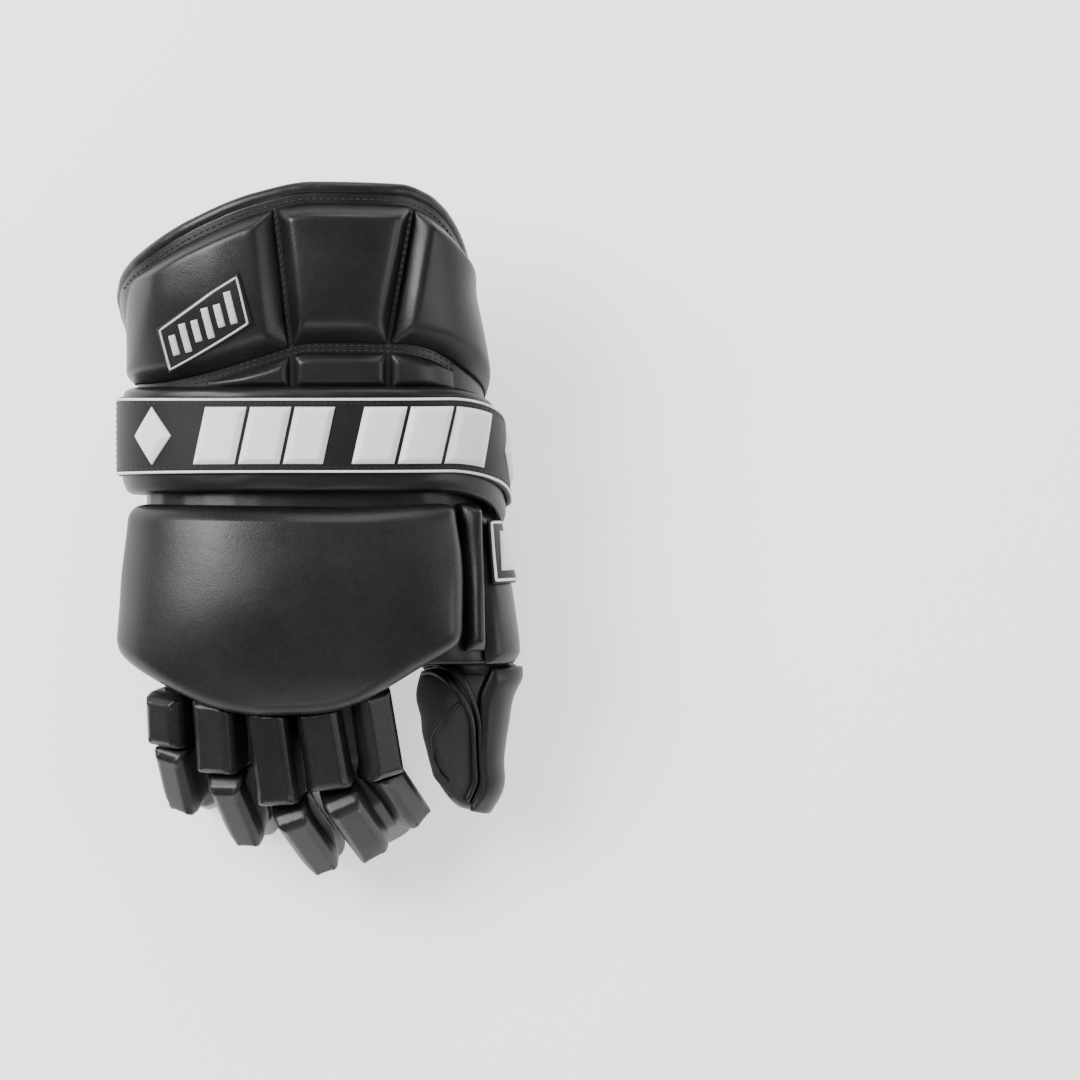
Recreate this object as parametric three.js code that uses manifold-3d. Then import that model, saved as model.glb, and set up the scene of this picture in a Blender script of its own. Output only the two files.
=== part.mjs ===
// A padded field glove for the right hand, lying palm down with its fingers curled on to the surface.
// Millimetres. +Z is up, +Y runs from the fingertips to the cuff and +X points to the thumb.
import * as THREE from 'three';
import * as BufferGeometryUtils from 'three/addons/utils/BufferGeometryUtils.js';
import Module from 'manifold-3d';

const wasm = await Module();
wasm.setup();

// Driving dimensions: the hand form that the glove is cut over
const HAND_LENGTH = 98; // middle of the strap to the line where the fingers start
const CUFF_LENGTH = 108; // middle of the strap to the top of the cuff
const PINKY_REACH = 77; // crest line to the side of the hand below the little finger
const THUMB_REACH = 70; // crest line to the thumb side at the wrist
const CREST_RISE = 75; // palm leather to the crest at the wrist
const HAND_WALL = 3; // palm leather and its lining
const BACK_WALL = 9; // foam under the back of the hand

// Fingers and thumb
const FINGER_WALL = 2;
const FINGER_WIDTH = 17.4;
const FINGER_DEPTH = 34; // at the knuckles, from the back of the finger to its palm side
const UPPER_LENGTH = 54;
const LOWER_LENGTH = 33;
const TIP_RADIUS = 9;
const JOINT_BEND = 8;
const KNUCKLE_DROP = 4; // back of the fingers below the back of the hand
const FINGER_TAPER = { width: 0.97, depth: 0.8 };
const THUMB_LENGTH = 66;
const THUMB_WIDTH = 38;
const THUMB_DEPTH = 42;
const WEB_THICKNESS = 2; // leather between the roots of the fingers

// Cuff
const CUFF_WALL = 3;
const CUFF_REACH_PINKY = 128; // crest line to the lower edge, measured over the surface
const CUFF_REACH_THUMB = 116;
const CUFF_TUCK = 12; // length of cuff that is caught under the strap, past its middle
const PANEL_HEIGHT = 8;
const PANEL_CROWN = 1.5;
const PANEL_BORDER = 5.5; // flat margin between the binding and the panels
const PANEL_BEVEL = 8;
const SEAM_WIDTH = 2.2;
const FLEX_HEIGHT = 4.5;
const FLEX_BEVEL = 2;
const FLEX_LEAST = 4; // narrowest stretch of a flexing pad
const BINDING_WIDTH = 4;
const BINDING_SWELL = 0.8;

// Wrist strap and the rubber label on it
const STRAP_WIDTH = 47;
const STRAP_THICKNESS = 5.2;
const STRAP_DROP = 16; // how far the strap slants to the fingers on the thumb side
const LABEL_WIDTH = 35;
const LABEL_THICKNESS = 2;
const LABEL_REACH_PINKY = 97;
const LABEL_REACH_THUMB = 114;
const BLOCK_WIDTH = 26;
const BLOCK_LENGTH = 16.5;
const BLOCK_HEIGHT = 2;
const BLOCK_BEVEL = 2.2;
const BLOCK_SLANT = 5;
const BLOCK_GAP = 1.5; // between the blocks of a row
const BLOCKS_IN_ROW = 3;

// Pads
const PAD_LENGTH = 91;
const PAD_HEIGHT = 12;
const PAD_CROWN = 4;
const PAD_BEVEL = 5;
const PAD_REACH_PINKY = 91;
const PAD_REACH_THUMB = 63;
const ROLL_HEIGHT = 11;
const ROLL_WIDTH = 19;
const ROLL_BEVEL = 4;
const LOWER_NARROWING = 0.88; // width of the rolls past the joint, as a share of those before it
const ROLL_SPACE = 0.6; // between neighbouring rolls
const ROLL_CORNER = 2.5;
const ROLL_WRAP = 8; // how far a roll's sides come down past the back of the finger
const SIDE_ROLL_WIDTH = 13;
const SIDE_ROLL_HEIGHT = 8;
const SIDE_ROLL_BEVEL = 4;
const SIDE_ROLL_LENGTH = 64;
const GUARD_WIDTH = 42;
const GUARD_HEIGHT = 5;
const GUARD_BEVEL = 4;
const GUARD_CORNER = 5;

// Trim
const PATCH_LENGTH = 50;
const PATCH_WIDTH = 22;
const PATCH_HEIGHT = 1.4;
const PATCH_BEVEL = 1;
const PATCH_CORNER = 4;
const PATCH_SLANT = 0.14; // share of the patch's length that each slanted end takes
const BADGE_LENGTH = 28;
const BADGE_WIDTH = 34;
const BADGE_HEIGHT = 2.2;
const BADGE_BEVEL = 0.8;
const BADGE_CORNER = 3;
const GUSSET_HEIGHT = 1.3;
const PALM_PATCH_WIDTH = 90;
const PALM_PATCH_HEIGHT = 1.6;
const PALM_PATCH_CORNER = 12;

// Fits
const CLEARANCE = 0.3; // between neighbours
const FACET_ROOM = 0.6; // a flat facet falls this far inside the round that it stands for
const SINK = 3; // how deep a pad starts under its seat before the seat is cut out of it

// Places along the hand, from the middle of the strap. Margins are from the strap's edge.
const PAD_MARGIN = 4.5;
const PAD_START = -STRAP_WIDTH / 2 - PAD_MARGIN;
const LABEL_SHIFT = 2;
const PATCH_ACROSS = 44; // from the crest line towards the little finger
const PATCH_ALONG = 52;
const PATCH_TURN = 32;
const SIDE_ROLL_GAP = 3; // between the pad and the roll beside it
const BADGE_ACROSS = 88;
const BADGE_MARGIN = 12.5;
const BADGE_START = -STRAP_WIDTH / 2 - BADGE_MARGIN;
const GUARD_ACROSS = 85;
const GUARD_GAP = 3; // between the badge and the guard below it
const PALM_PATCH_MARGIN = 26.5;
const PALM_PATCH_START = -STRAP_WIDTH / 2 - PALM_PATCH_MARGIN;
const END_MARGIN = 1; // between the pieces on the hand and the finger line
const ROLL_TUCK = 9; // start of the rolls, from the finger line
const ROLL_REACH_BACK = 9; // how far a roll past the joint reaches back to the roll before it
const LOWER_OVERRUN = 4;
const BLOCK_ROWS = [-0.39, 0.23]; // middle of each row's first block, as a share of the label's reach
const DIAMONDS = [-0.68, 0.81];

// Fineness of the facets
const CUFF_COLUMNS = 22;
const CUFF_ROWS = 4;
const PANEL_COLUMNS = 5;
const FLEX_COLUMNS = 4;
const BINDING_SIDES = 5;
const STRAP_STATIONS = 32;
const LABEL_COLUMNS = 20;
const BLOCK_COLUMNS = 8;
const DIAMOND_COLUMNS = 3;
const SECTION_POINTS = 96;
const HAND_SIDES = 32;
const HAND_STATIONS = 7;
const SPARE_STATIONS = 3; // past the fingers' end of the hand, in the bodies that cut its pads
const FINGER_SIDES = 12;
const FINGER_STATIONS = 5;
const TIP_STEPS = [0.5, 0.85]; // shares of the tip's radius at which its rings stand
const OUTLINE_STEP = 15;
const SLOPE_STEP = 1.5;

// Strap and label stand on the cuff, which stands on the hand
const CUFF_SEAT = CLEARANCE + FACET_ROOM;
const CUFF_FACE = CUFF_SEAT + CUFF_WALL;
const STRAP_SEAT = CUFF_FACE + CLEARANCE + FACET_ROOM;
const STRAP_FACE = STRAP_SEAT + STRAP_THICKNESS;
const LABEL_SEAT = STRAP_FACE + CLEARANCE + FACET_ROOM;
const LABEL_FACE = LABEL_SEAT + LABEL_THICKNESS;
const PALM_LEVEL = STRAP_FACE; // so that the strap's underside lies on the surface

// Sections of the hand form. at is a share of HAND_LENGTH towards the fingers (negative) or of
// CUFF_LENGTH towards the cuff (positive). pinky and thumb are shares of their reaches, crest of
// CREST_RISE above the palm level, middle of that crest, and palm lifts the palm by a share of it.
const FORM = [
  { at: -1.35, pinky: 0.98, thumb: 1.0, crest: 0.84, middle: 0.58, palm: 0.42 },
  { at: -1.0, pinky: 1.03, thumb: 1.22, crest: 0.98, middle: 0.53, palm: 0.36 },
  { at: -0.7, pinky: 1.01, thumb: 1.17, crest: 1.03, middle: 0.44, palm: 0.14 },
  { at: -0.46, pinky: 1.0, thumb: 1.08, crest: 1.02, middle: 0.42, palm: 0 },
  { at: -0.1, pinky: 1.0, thumb: 1.0, crest: 1.0, middle: 0.42, palm: 0 },
  { at: 0.23, pinky: 1.0, thumb: 0.98, crest: 1.04, middle: 0.42, palm: 0 },
  { at: 0.6, pinky: 1.1, thumb: 0.91, crest: 1.17, middle: 0.42, palm: 0 },
  { at: 1.15, pinky: 1.12, thumb: 0.86, crest: 1.25, middle: 0.42, palm: 0 },
];
const ARCH = 2.4; // squareness of the back of the hand
const PALM_ARCH = 3;
const PALM_FLATNESS = 1.15; // above 1 the palm has a flat stretch

// The rim of the cuff: across is a share of the cuff's reach, rim and seam are shares of CUFF_LENGTH.
// seam is the curved seam between the cuff's panels and the flexing strip above the strap.
const CUFF = [
  { across: -1.0, rim: 0.27, seam: 0.22 },
  { across: -0.9, rim: 0.46, seam: 0.22 },
  { across: -0.8, rim: 0.58, seam: 0.22 },
  { across: -0.7, rim: 0.66, seam: 0.22 },
  { across: -0.59, rim: 0.73, seam: 0.22 },
  { across: -0.41, rim: 0.84, seam: 0.25 },
  { across: -0.18, rim: 0.945, seam: 0.33 },
  { across: 0, rim: 0.985, seam: 0.385 },
  { across: 0.32, rim: 0.98, seam: 0.38 },
  { across: 0.42, rim: 0.95, seam: 0.36 },
  { across: 0.5, rim: 0.9, seam: 0.32 },
  { across: 0.6, rim: 0.81, seam: 0.26 },
  { across: 0.75, rim: 0.65, seam: 0.2 },
  { across: 0.88, rim: 0.45, seam: 0.16 },
  { across: 1.0, rim: 0.25, seam: 0.14 },
];

// The two seams that part the cuff's panels: their place across at the curved seam and at the rim
const PANEL_SEAMS = [
  { low: -0.075, high: -0.135 },
  { low: 0.27, high: 0.375 },
];

// The outer ends of the cuff's panels and of the flexing strip, as shares of the cuff's reaches
const PANEL_ENDS = { pinky: { low: -0.8, high: -0.67 }, thumb: { low: 0.85, high: 0.78 } };
const FLEX_ENDS = { pinky: -0.36, thumb: 0.52 };

// Where the strap's slant starts, is whole and starts to run back: shares of the way round the hand from
// the crest line to the palm
const STRAP_SLANT = { start: 0.28, whole: 0.62, back: 0.72 };

// The rounded edge of the strap, as shares of its rounding and of its thickness
const STRAP_ROUNDING = 4.2;
const STRAP_EDGE = [
  { drawn: 0, height: 0.35 },
  { drawn: 0.4, height: 0.8 },
  { drawn: 1, height: 1 },
];

// The shoulder of a pad: how far it is drawn in, as a share of the bevel, and how high it is
const SHOULDER = [
  { drawn: 0, height: 0.45 },
  { drawn: 0.35, height: 0.82 },
  { drawn: 1, height: 1 },
];
const PLATE_EDGE = 0.5; // height of a thin plate's upright edge, as a share of its own height

// Corners of the pad over the back of the hand: across is a share of its reach to that side, along of its
// length from the strap
const PAD_CORNERS = [
  { across: -0.93, along: 0, radius: 7 },
  { across: -1.0, along: 0.4, radius: 15 },
  { across: -1.0, along: 0.72, radius: 8 },
  { across: -0.4, along: 1.0, radius: 20 },
  { across: 0.2, along: 0.98, radius: 16 },
  { across: 1.0, along: 0.66, radius: 6 },
  { across: 1.0, along: 0.3, radius: 10 },
  { across: 0.93, along: 0, radius: 5 },
  { across: 0.3, along: 0.02, radius: 12 },
];

// The thumb. base is a share of THUMB_REACH, and upper and lower are shares of THUMB_LENGTH.
const THUMB = {
  base: 1.27, upper: 0.4, lower: 0.35, lean: -38, taper: { width: 0.86, depth: 0.86 },
  headings: [-3, -18, -26], pitches: [4, 10, 20],
};

// What covers the thumb: left and right are shares of THUMB_WIDTH, round from its back, and short is how
// far it stops before the tip, as a share of TIP_RADIUS
const THUMB_COVERS = {
  guard: { left: -0.3, right: 0.85, start: 1.5, short: 0.6, radius: 9 },
  gusset: { left: -1.2, right: -0.34, start: 4, short: 1, radius: 9 },
};

// Fingers. base is a share of the hand's reach, width of FINGER_WIDTH, depth of FINGER_DEPTH, upper and
// lower of their lengths. Headings turn to the thumb and pitches down, in degrees, and lean tips the
// back of the finger to the little finger's side.
const FINGERS = [
  { name: 'pinky', base: -0.89, width: 1, depth: 0.82, upper: 0.62, lower: 0.8, lean: 34,
    headings: [1, 8, 8], pitches: [14, 42, 90] },
  { name: 'ring', base: -0.6, width: 1, depth: 0.95, upper: 0.82, lower: 0.95, lean: 24,
    headings: [3, 18, 18], pitches: [14, 46, 90] },
  { name: 'middle', base: -0.31, width: 1, depth: 1, upper: 1.08, lower: 1, lean: 14,
    headings: [7, 30, 30], pitches: [14, 50, 90] },
  { name: 'index', base: 0.09, width: 1.75, depth: 1, upper: 0.94, lower: 0.95, lean: 2,
    headings: [9, 30, 30], pitches: [14, 48, 90] },
];

// The rolls of foam on the fingers. width is a share of ROLL_WIDTH, shift moves a roll to the thumb
// side by a share of the finger's width, and tip turns it round the finger, in degrees.
const ROLLS = [
  { name: 'pinky', finger: 'pinky', width: 1, shift: 0, tip: 0 },
  { name: 'ring', finger: 'ring', width: 1, shift: 0, tip: 0 },
  { name: 'middle', finger: 'middle', width: 1, shift: 0, tip: 0 },
  { name: 'index', finger: 'index', width: 1.05, shift: -0.2, tip: -6 },
  { name: 'index_side', finger: 'index', width: 0.95, shift: 0.2, tip: 32 },
];

const COLORS = { leather: 0x1c1c1e, palm: 0x262524, rubber: 0x2c2c2e, white: 0xe9e9e4, lining: 0x3a3a3a };

const smooth = (low, high, value) => THREE.MathUtils.smoothstep(value, low, high);
const mix = THREE.MathUtils.lerp;

// A value read between the rows of a table, along a curve that never swings past the rows
function between(table, key, column, value) {
  const last = table.length - 2;
  let row = table.findIndex((entry, index) => index <= last && value <= table[index + 1][key]);
  if (row < 0) row = last;
  const slope = (i) => {
    if (i < 0 || i > last) return null;
    return (table[i + 1][column] - table[i][column]) / (table[i + 1][key] - table[i][key]);
  };
  const tangent = (i) => {
    const before = slope(i - 1) ?? slope(i);
    const after = slope(i) ?? slope(i - 1);
    return before * after <= 0 ? 0 : (2 * before * after) / (before + after);
  };
  const span = table[row + 1][key] - table[row][key];
  const t = THREE.MathUtils.clamp((value - table[row][key]) / span, 0, 1);
  const t2 = t * t;
  const t3 = t2 * t;
  return (
    (2 * t3 - 3 * t2 + 1) * table[row][column] +
    (t3 - 2 * t2 + t) * span * tangent(row) +
    (3 * t2 - 2 * t3) * table[row + 1][column] +
    (t3 - t2) * span * tangent(row + 1)
  );
}

// A surface that closed sections sweep. Its coordinates are millimetres: across, over the surface from
// the crest towards the thumb, and along.
class Skin {
  constructor(outline) {
    this.outline = outline;
    this.sections = new Map();
  }

  section(along) {
    if (!this.sections.has(along)) {
      const points = this.outline(along);
      const lengths = [0];
      points.forEach((point, i) => {
        lengths.push(lengths[i] + point.distanceTo(points[(i + 1) % points.length]));
      });
      this.sections.set(along, { points, lengths });
    }
    return this.sections.get(along);
  }

  girth(along) {
    return this.section(along).lengths.at(-1);
  }

  on(across, along) {
    const { points, lengths } = this.section(along);
    const girth = lengths.at(-1);
    const walked = THREE.MathUtils.euclideanModulo(across, girth);
    let low = 0;
    let high = points.length;
    while (high - low > 1) {
      const half = (low + high) >> 1;
      if (lengths[half] <= walked) low = half;
      else high = half;
    }
    const share = (walked - lengths[low]) / (lengths[low + 1] - lengths[low]);
    return points[low].clone().lerp(points[(low + 1) % points.length], share);
  }

  normal(across, along) {
    const sideways = this.on(across + SLOPE_STEP, along).sub(this.on(across - SLOPE_STEP, along));
    const lengthways = this.on(across, along + SLOPE_STEP).sub(this.on(across, along - SLOPE_STEP));
    const normal = sideways.cross(lengthways).normalize();
    const opposite = this.on(across + this.girth(along) / 2, along);
    const outward = this.on(across, along).sub(opposite);
    return normal.dot(outward) < 0 ? normal.negate() : normal;
  }

  lifted(across, along, lift) {
    return this.on(across, along).addScaledVector(this.normal(across, along), lift);
  }

  ring(along, sides, lift) {
    const girth = this.girth(along);
    return Array.from({ length: sides }, (_, i) => this.lifted((i / sides) * girth, along, lift));
  }
}

// A surface through rings of equal count, joined round or capped at both ends by the tips or by the
// middles of the end rings
function loft(rings, capped, tips = []) {
  const count = rings[0].length;
  const points = rings.flat();
  const faces = [];
  const joins = capped ? rings.length - 1 : rings.length;
  for (let row = 0; row < joins; row++) {
    const next = ((row + 1) % rings.length) * count;
    for (let i = 0; i < count; i++) {
      const j = (i + 1) % count;
      faces.push([row * count + i, row * count + j, next + j]);
      faces.push([row * count + i, next + j, next + i]);
    }
  }
  if (capped) {
    for (const [ring, turn, tip] of [[0, true, tips[0]], [rings.length - 1, false, tips[1]]]) {
      const middle = rings[ring].reduce((sum, point) => sum.add(point), new THREE.Vector3());
      points.push(tip ?? middle.divideScalar(count));
      for (let i = 0; i < count; i++) {
        const edge = [ring * count + i, ring * count + ((i + 1) % count)];
        faces.push(turn ? [edge[1], edge[0], points.length - 1] : [edge[0], edge[1], points.length - 1]);
      }
    }
  }
  return solid(points, faces);
}

// A sheet of some thickness over a grid: point(column, row, face) with face 0 inside and 1 outside
function sheet(columns, rows, point) {
  const points = [];
  for (const face of [0, 1]) {
    for (let c = 0; c <= columns; c++) {
      for (let r = 0; r <= rows; r++) points.push(point(c / columns, r / rows, face));
    }
  }
  const index = (c, r, face) => face * (columns + 1) * (rows + 1) + c * (rows + 1) + r;
  const faces = [];
  const quad = (a, b, c, d) => faces.push([a, b, c], [a, c, d]);
  for (let c = 0; c < columns; c++) {
    for (let r = 0; r < rows; r++) {
      quad(index(c, r, 1), index(c + 1, r, 1), index(c + 1, r + 1, 1), index(c, r + 1, 1));
      quad(index(c, r, 0), index(c, r + 1, 0), index(c + 1, r + 1, 0), index(c + 1, r, 0));
    }
    quad(index(c, 0, 0), index(c + 1, 0, 0), index(c + 1, 0, 1), index(c, 0, 1));
    quad(index(c, rows, 0), index(c, rows, 1), index(c + 1, rows, 1), index(c + 1, rows, 0));
  }
  for (let r = 0; r < rows; r++) {
    quad(index(0, r, 0), index(0, r, 1), index(0, r + 1, 1), index(0, r + 1, 0));
    quad(index(columns, r, 0), index(columns, r + 1, 0), index(columns, r + 1, 1), index(columns, r, 1));
  }
  return solid(points, faces);
}

// A solid from points and faces, turned so that its faces point out
function solid(points, faces) {
  let volume = 0;
  for (const [a, b, c] of faces) {
    volume += points[a].dot(new THREE.Vector3().crossVectors(points[b], points[c]));
  }
  const turned = volume < 0 ? faces.map(([a, b, c]) => [a, c, b]) : faces;
  return new wasm.Manifold(
    new wasm.Mesh({
      numProp: 3,
      vertProperties: new Float32Array(points.flatMap((point) => point.toArray())),
      triVerts: new Uint32Array(turned.flat()),
    }),
  );
}

// The main body of a cut shape, without the crumbs that a cut can leave
function largest(shape) {
  const pieces = shape.decompose();
  return pieces.reduce((best, piece) => (piece.volume() > best.volume() ? piece : best));
}

function geometryOf(shape) {
  const mesh = shape.getMesh();
  const geometry = new THREE.BufferGeometry();
  geometry.setAttribute('position', new THREE.BufferAttribute(new Float32Array(mesh.vertProperties), 3));
  geometry.setIndex(new THREE.BufferAttribute(new Uint32Array(mesh.triVerts), 1));
  return geometry;
}

// An outline in surface coordinates from its corners, each rounded by its radius
function rounded(corners, bends = 2) {
  const outline = [];
  corners.forEach((corner, i) => {
    const here = new THREE.Vector2(corner.across, corner.along);
    const before = corners[(i + corners.length - 1) % corners.length];
    const after = corners[(i + 1) % corners.length];
    const toBefore = new THREE.Vector2(before.across, before.along).sub(here);
    const toAfter = new THREE.Vector2(after.across, after.along).sub(here);
    const start = here.clone().addScaledVector(toBefore.clone().normalize(), corner.radius);
    const end = here.clone().addScaledVector(toAfter.clone().normalize(), corner.radius);
    for (let k = 0; k <= bends; k++) {
      const t = k / bends;
      const point = start.clone().multiplyScalar((1 - t) ** 2);
      outline.push(point.addScaledVector(here, 2 * t * (1 - t)).addScaledVector(end, t * t));
    }
    const straight = toAfter.length() - corner.radius - after.radius;
    const pieces = Math.max(1, Math.round(straight / OUTLINE_STEP));
    for (let k = 1; k < pieces; k++) {
      outline.push(end.clone().addScaledVector(toAfter.clone().normalize(), (straight * k) / pieces));
    }
  });
  return outline;
}

// The outline moved inwards by a distance, whichever way round it runs
function inset(outline, distance) {
  const count = outline.length;
  const area = outline.reduce((sum, p, i) => sum + p.cross(outline[(i + 1) % count]), 0);
  const side = Math.sign(area) * distance;
  return outline.map((point, i) => {
    const run = outline[(i + 1) % count].clone().sub(outline[(i + count - 1) % count]).normalize();
    return new THREE.Vector2(point.x - run.y * side, point.y + run.x * side);
  });
}

// A pad on a skin. profile lists, from the seat up, how far the outline is drawn in and how high it is.
// Inside the last of them the top swells by crown.
function pad(skin, outline, profile, { crown = 0, rings = 2, grow = 0 } = {}) {
  const middle = outline.reduce((sum, p) => sum.add(p), new THREE.Vector2()).divideScalar(outline.length);
  const levels = profile.map(({ drawn, height }) =>
    inset(outline, drawn - grow).map((p) => skin.lifted(p.x, p.y, height + (height > 0 ? grow : -grow))),
  );
  const top = profile.at(-1);
  const last = inset(outline, top.drawn - grow);
  for (let ring = 1; ring <= rings; ring++) {
    const share = 1 - ring / (rings + 1);
    const height = top.height + grow + crown * (1 - share * share);
    levels.push(last.map((p) => {
      const point = p.clone().sub(middle).multiplyScalar(share).add(middle);
      return skin.lifted(point.x, point.y, height);
    }));
  }
  const seat = skin.lifted(middle.x, middle.y, profile[0].height);
  const summit = skin.lifted(middle.x, middle.y, top.height + grow + crown);
  return loft(levels, true, [seat, summit]);
}

// The usual pad profile: an upright edge and a rounded shoulder
function shoulder(height, bevel, seat = 0, sink = SINK) {
  const levels = SHOULDER.map((level) => (
    { drawn: bevel * level.drawn, height: seat + height * level.height }
  ));
  return [{ drawn: 0, height: seat - sink }, ...levels];
}

// The profile of a thin plate: an upright edge and a narrow slope
function plateProfile(bottom, face, height, bevel) {
  return [
    { drawn: 0, height: bottom },
    { drawn: 0, height: face + height * PLATE_EDGE },
    { drawn: bevel, height: face + height },
  ];
}

function rectangle(left, right, start, end, radius) {
  return rounded([
    { across: left, along: start, radius },
    { across: right, along: start, radius },
    { across: right, along: end, radius },
    { across: left, along: end, radius },
  ]);
}

// The hand form
function formAt(y) {
  const at = y < 0 ? y / HAND_LENGTH : y / CUFF_LENGTH;
  const share = (column) => between(FORM, 'at', column, at);
  const crest = CREST_RISE * share('crest');
  return {
    pinky: PINKY_REACH * share('pinky'),
    thumb: THUMB_REACH * share('thumb'),
    crest: PALM_LEVEL + crest,
    middle: PALM_LEVEL + crest * share('middle'),
    palm: PALM_LEVEL + CREST_RISE * share('palm'),
  };
}

function roundSection(y, size) {
  return Array.from({ length: SECTION_POINTS }, (_, i) => {
    const turn = (2 * Math.PI * i) / SECTION_POINTS;
    const out = Math.sin(turn);
    const up = Math.cos(turn);
    const power = 2 / (up > 0 ? ARCH : PALM_ARCH);
    const reach = out > 0 ? size.thumb : size.pinky;
    const x = Math.sign(out) * reach * Math.abs(out) ** power;
    const rise = (size.crest - size.middle) * Math.abs(up) ** power;
    const fall = (size.middle - size.palm) * Math.min(1, PALM_FLATNESS * Math.abs(up) ** power);
    return new THREE.Vector3(x, y, size.middle + (up > 0 ? rise : -fall));
  });
}

const hand = new Skin((y) => roundSection(y, formAt(y)));
const handInside = new Skin((y) => {
  const size = formAt(y);
  return roundSection(y, {
    pinky: size.pinky - HAND_WALL,
    thumb: size.thumb - HAND_WALL,
    crest: size.crest - BACK_WALL,
    middle: size.middle,
    palm: size.palm + HAND_WALL,
  });
});

// The rings of the hand and of every body cut by it stand at the same places, so their facets match
const HAND_TOP = STRAP_WIDTH / 2 - CLEARANCE;
const stationAt = (i) => mix(-HAND_LENGTH, HAND_TOP, i / HAND_STATIONS);

// The hand form as a full body, lifted off the hand: what stands on it is cut to fit by this
function handBody(lift, first, last) {
  const rings = [];
  for (let i = first; i <= last; i++) rings.push(hand.ring(stationAt(i), HAND_SIDES, lift));
  return loft(rings, true);
}

function makeHandShell() {
  const rings = [];
  for (let i = 0; i <= HAND_STATIONS; i++) rings.push(hand.ring(stationAt(i), HAND_SIDES, 0));
  for (let i = HAND_STATIONS; i >= 0; i--) rings.push(handInside.ring(stationAt(i), HAND_SIDES, 0));
  return loft(rings, false);
}

// The leather between the roots of the fingers, just inside the end of the hand, with a way into each finger
function makeWebbing(ways) {
  const near = handInside.ring(stationAt(0), HAND_SIDES, -CLEARANCE);
  const far = handInside.ring(stationAt(1), HAND_SIDES, -CLEARANCE);
  const ringAt = (depth) => {
    const share = depth / (stationAt(1) - stationAt(0));
    return near.map((point, i) => point.clone().lerp(far[i], share).setY(stationAt(0) + depth));
  };
  let plate = loft([ringAt(CLEARANCE), ringAt(CLEARANCE + WEB_THICKNESS)], true);
  for (const way of ways) plate = plate.subtract(way);
  return largest(plate);
}

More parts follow.
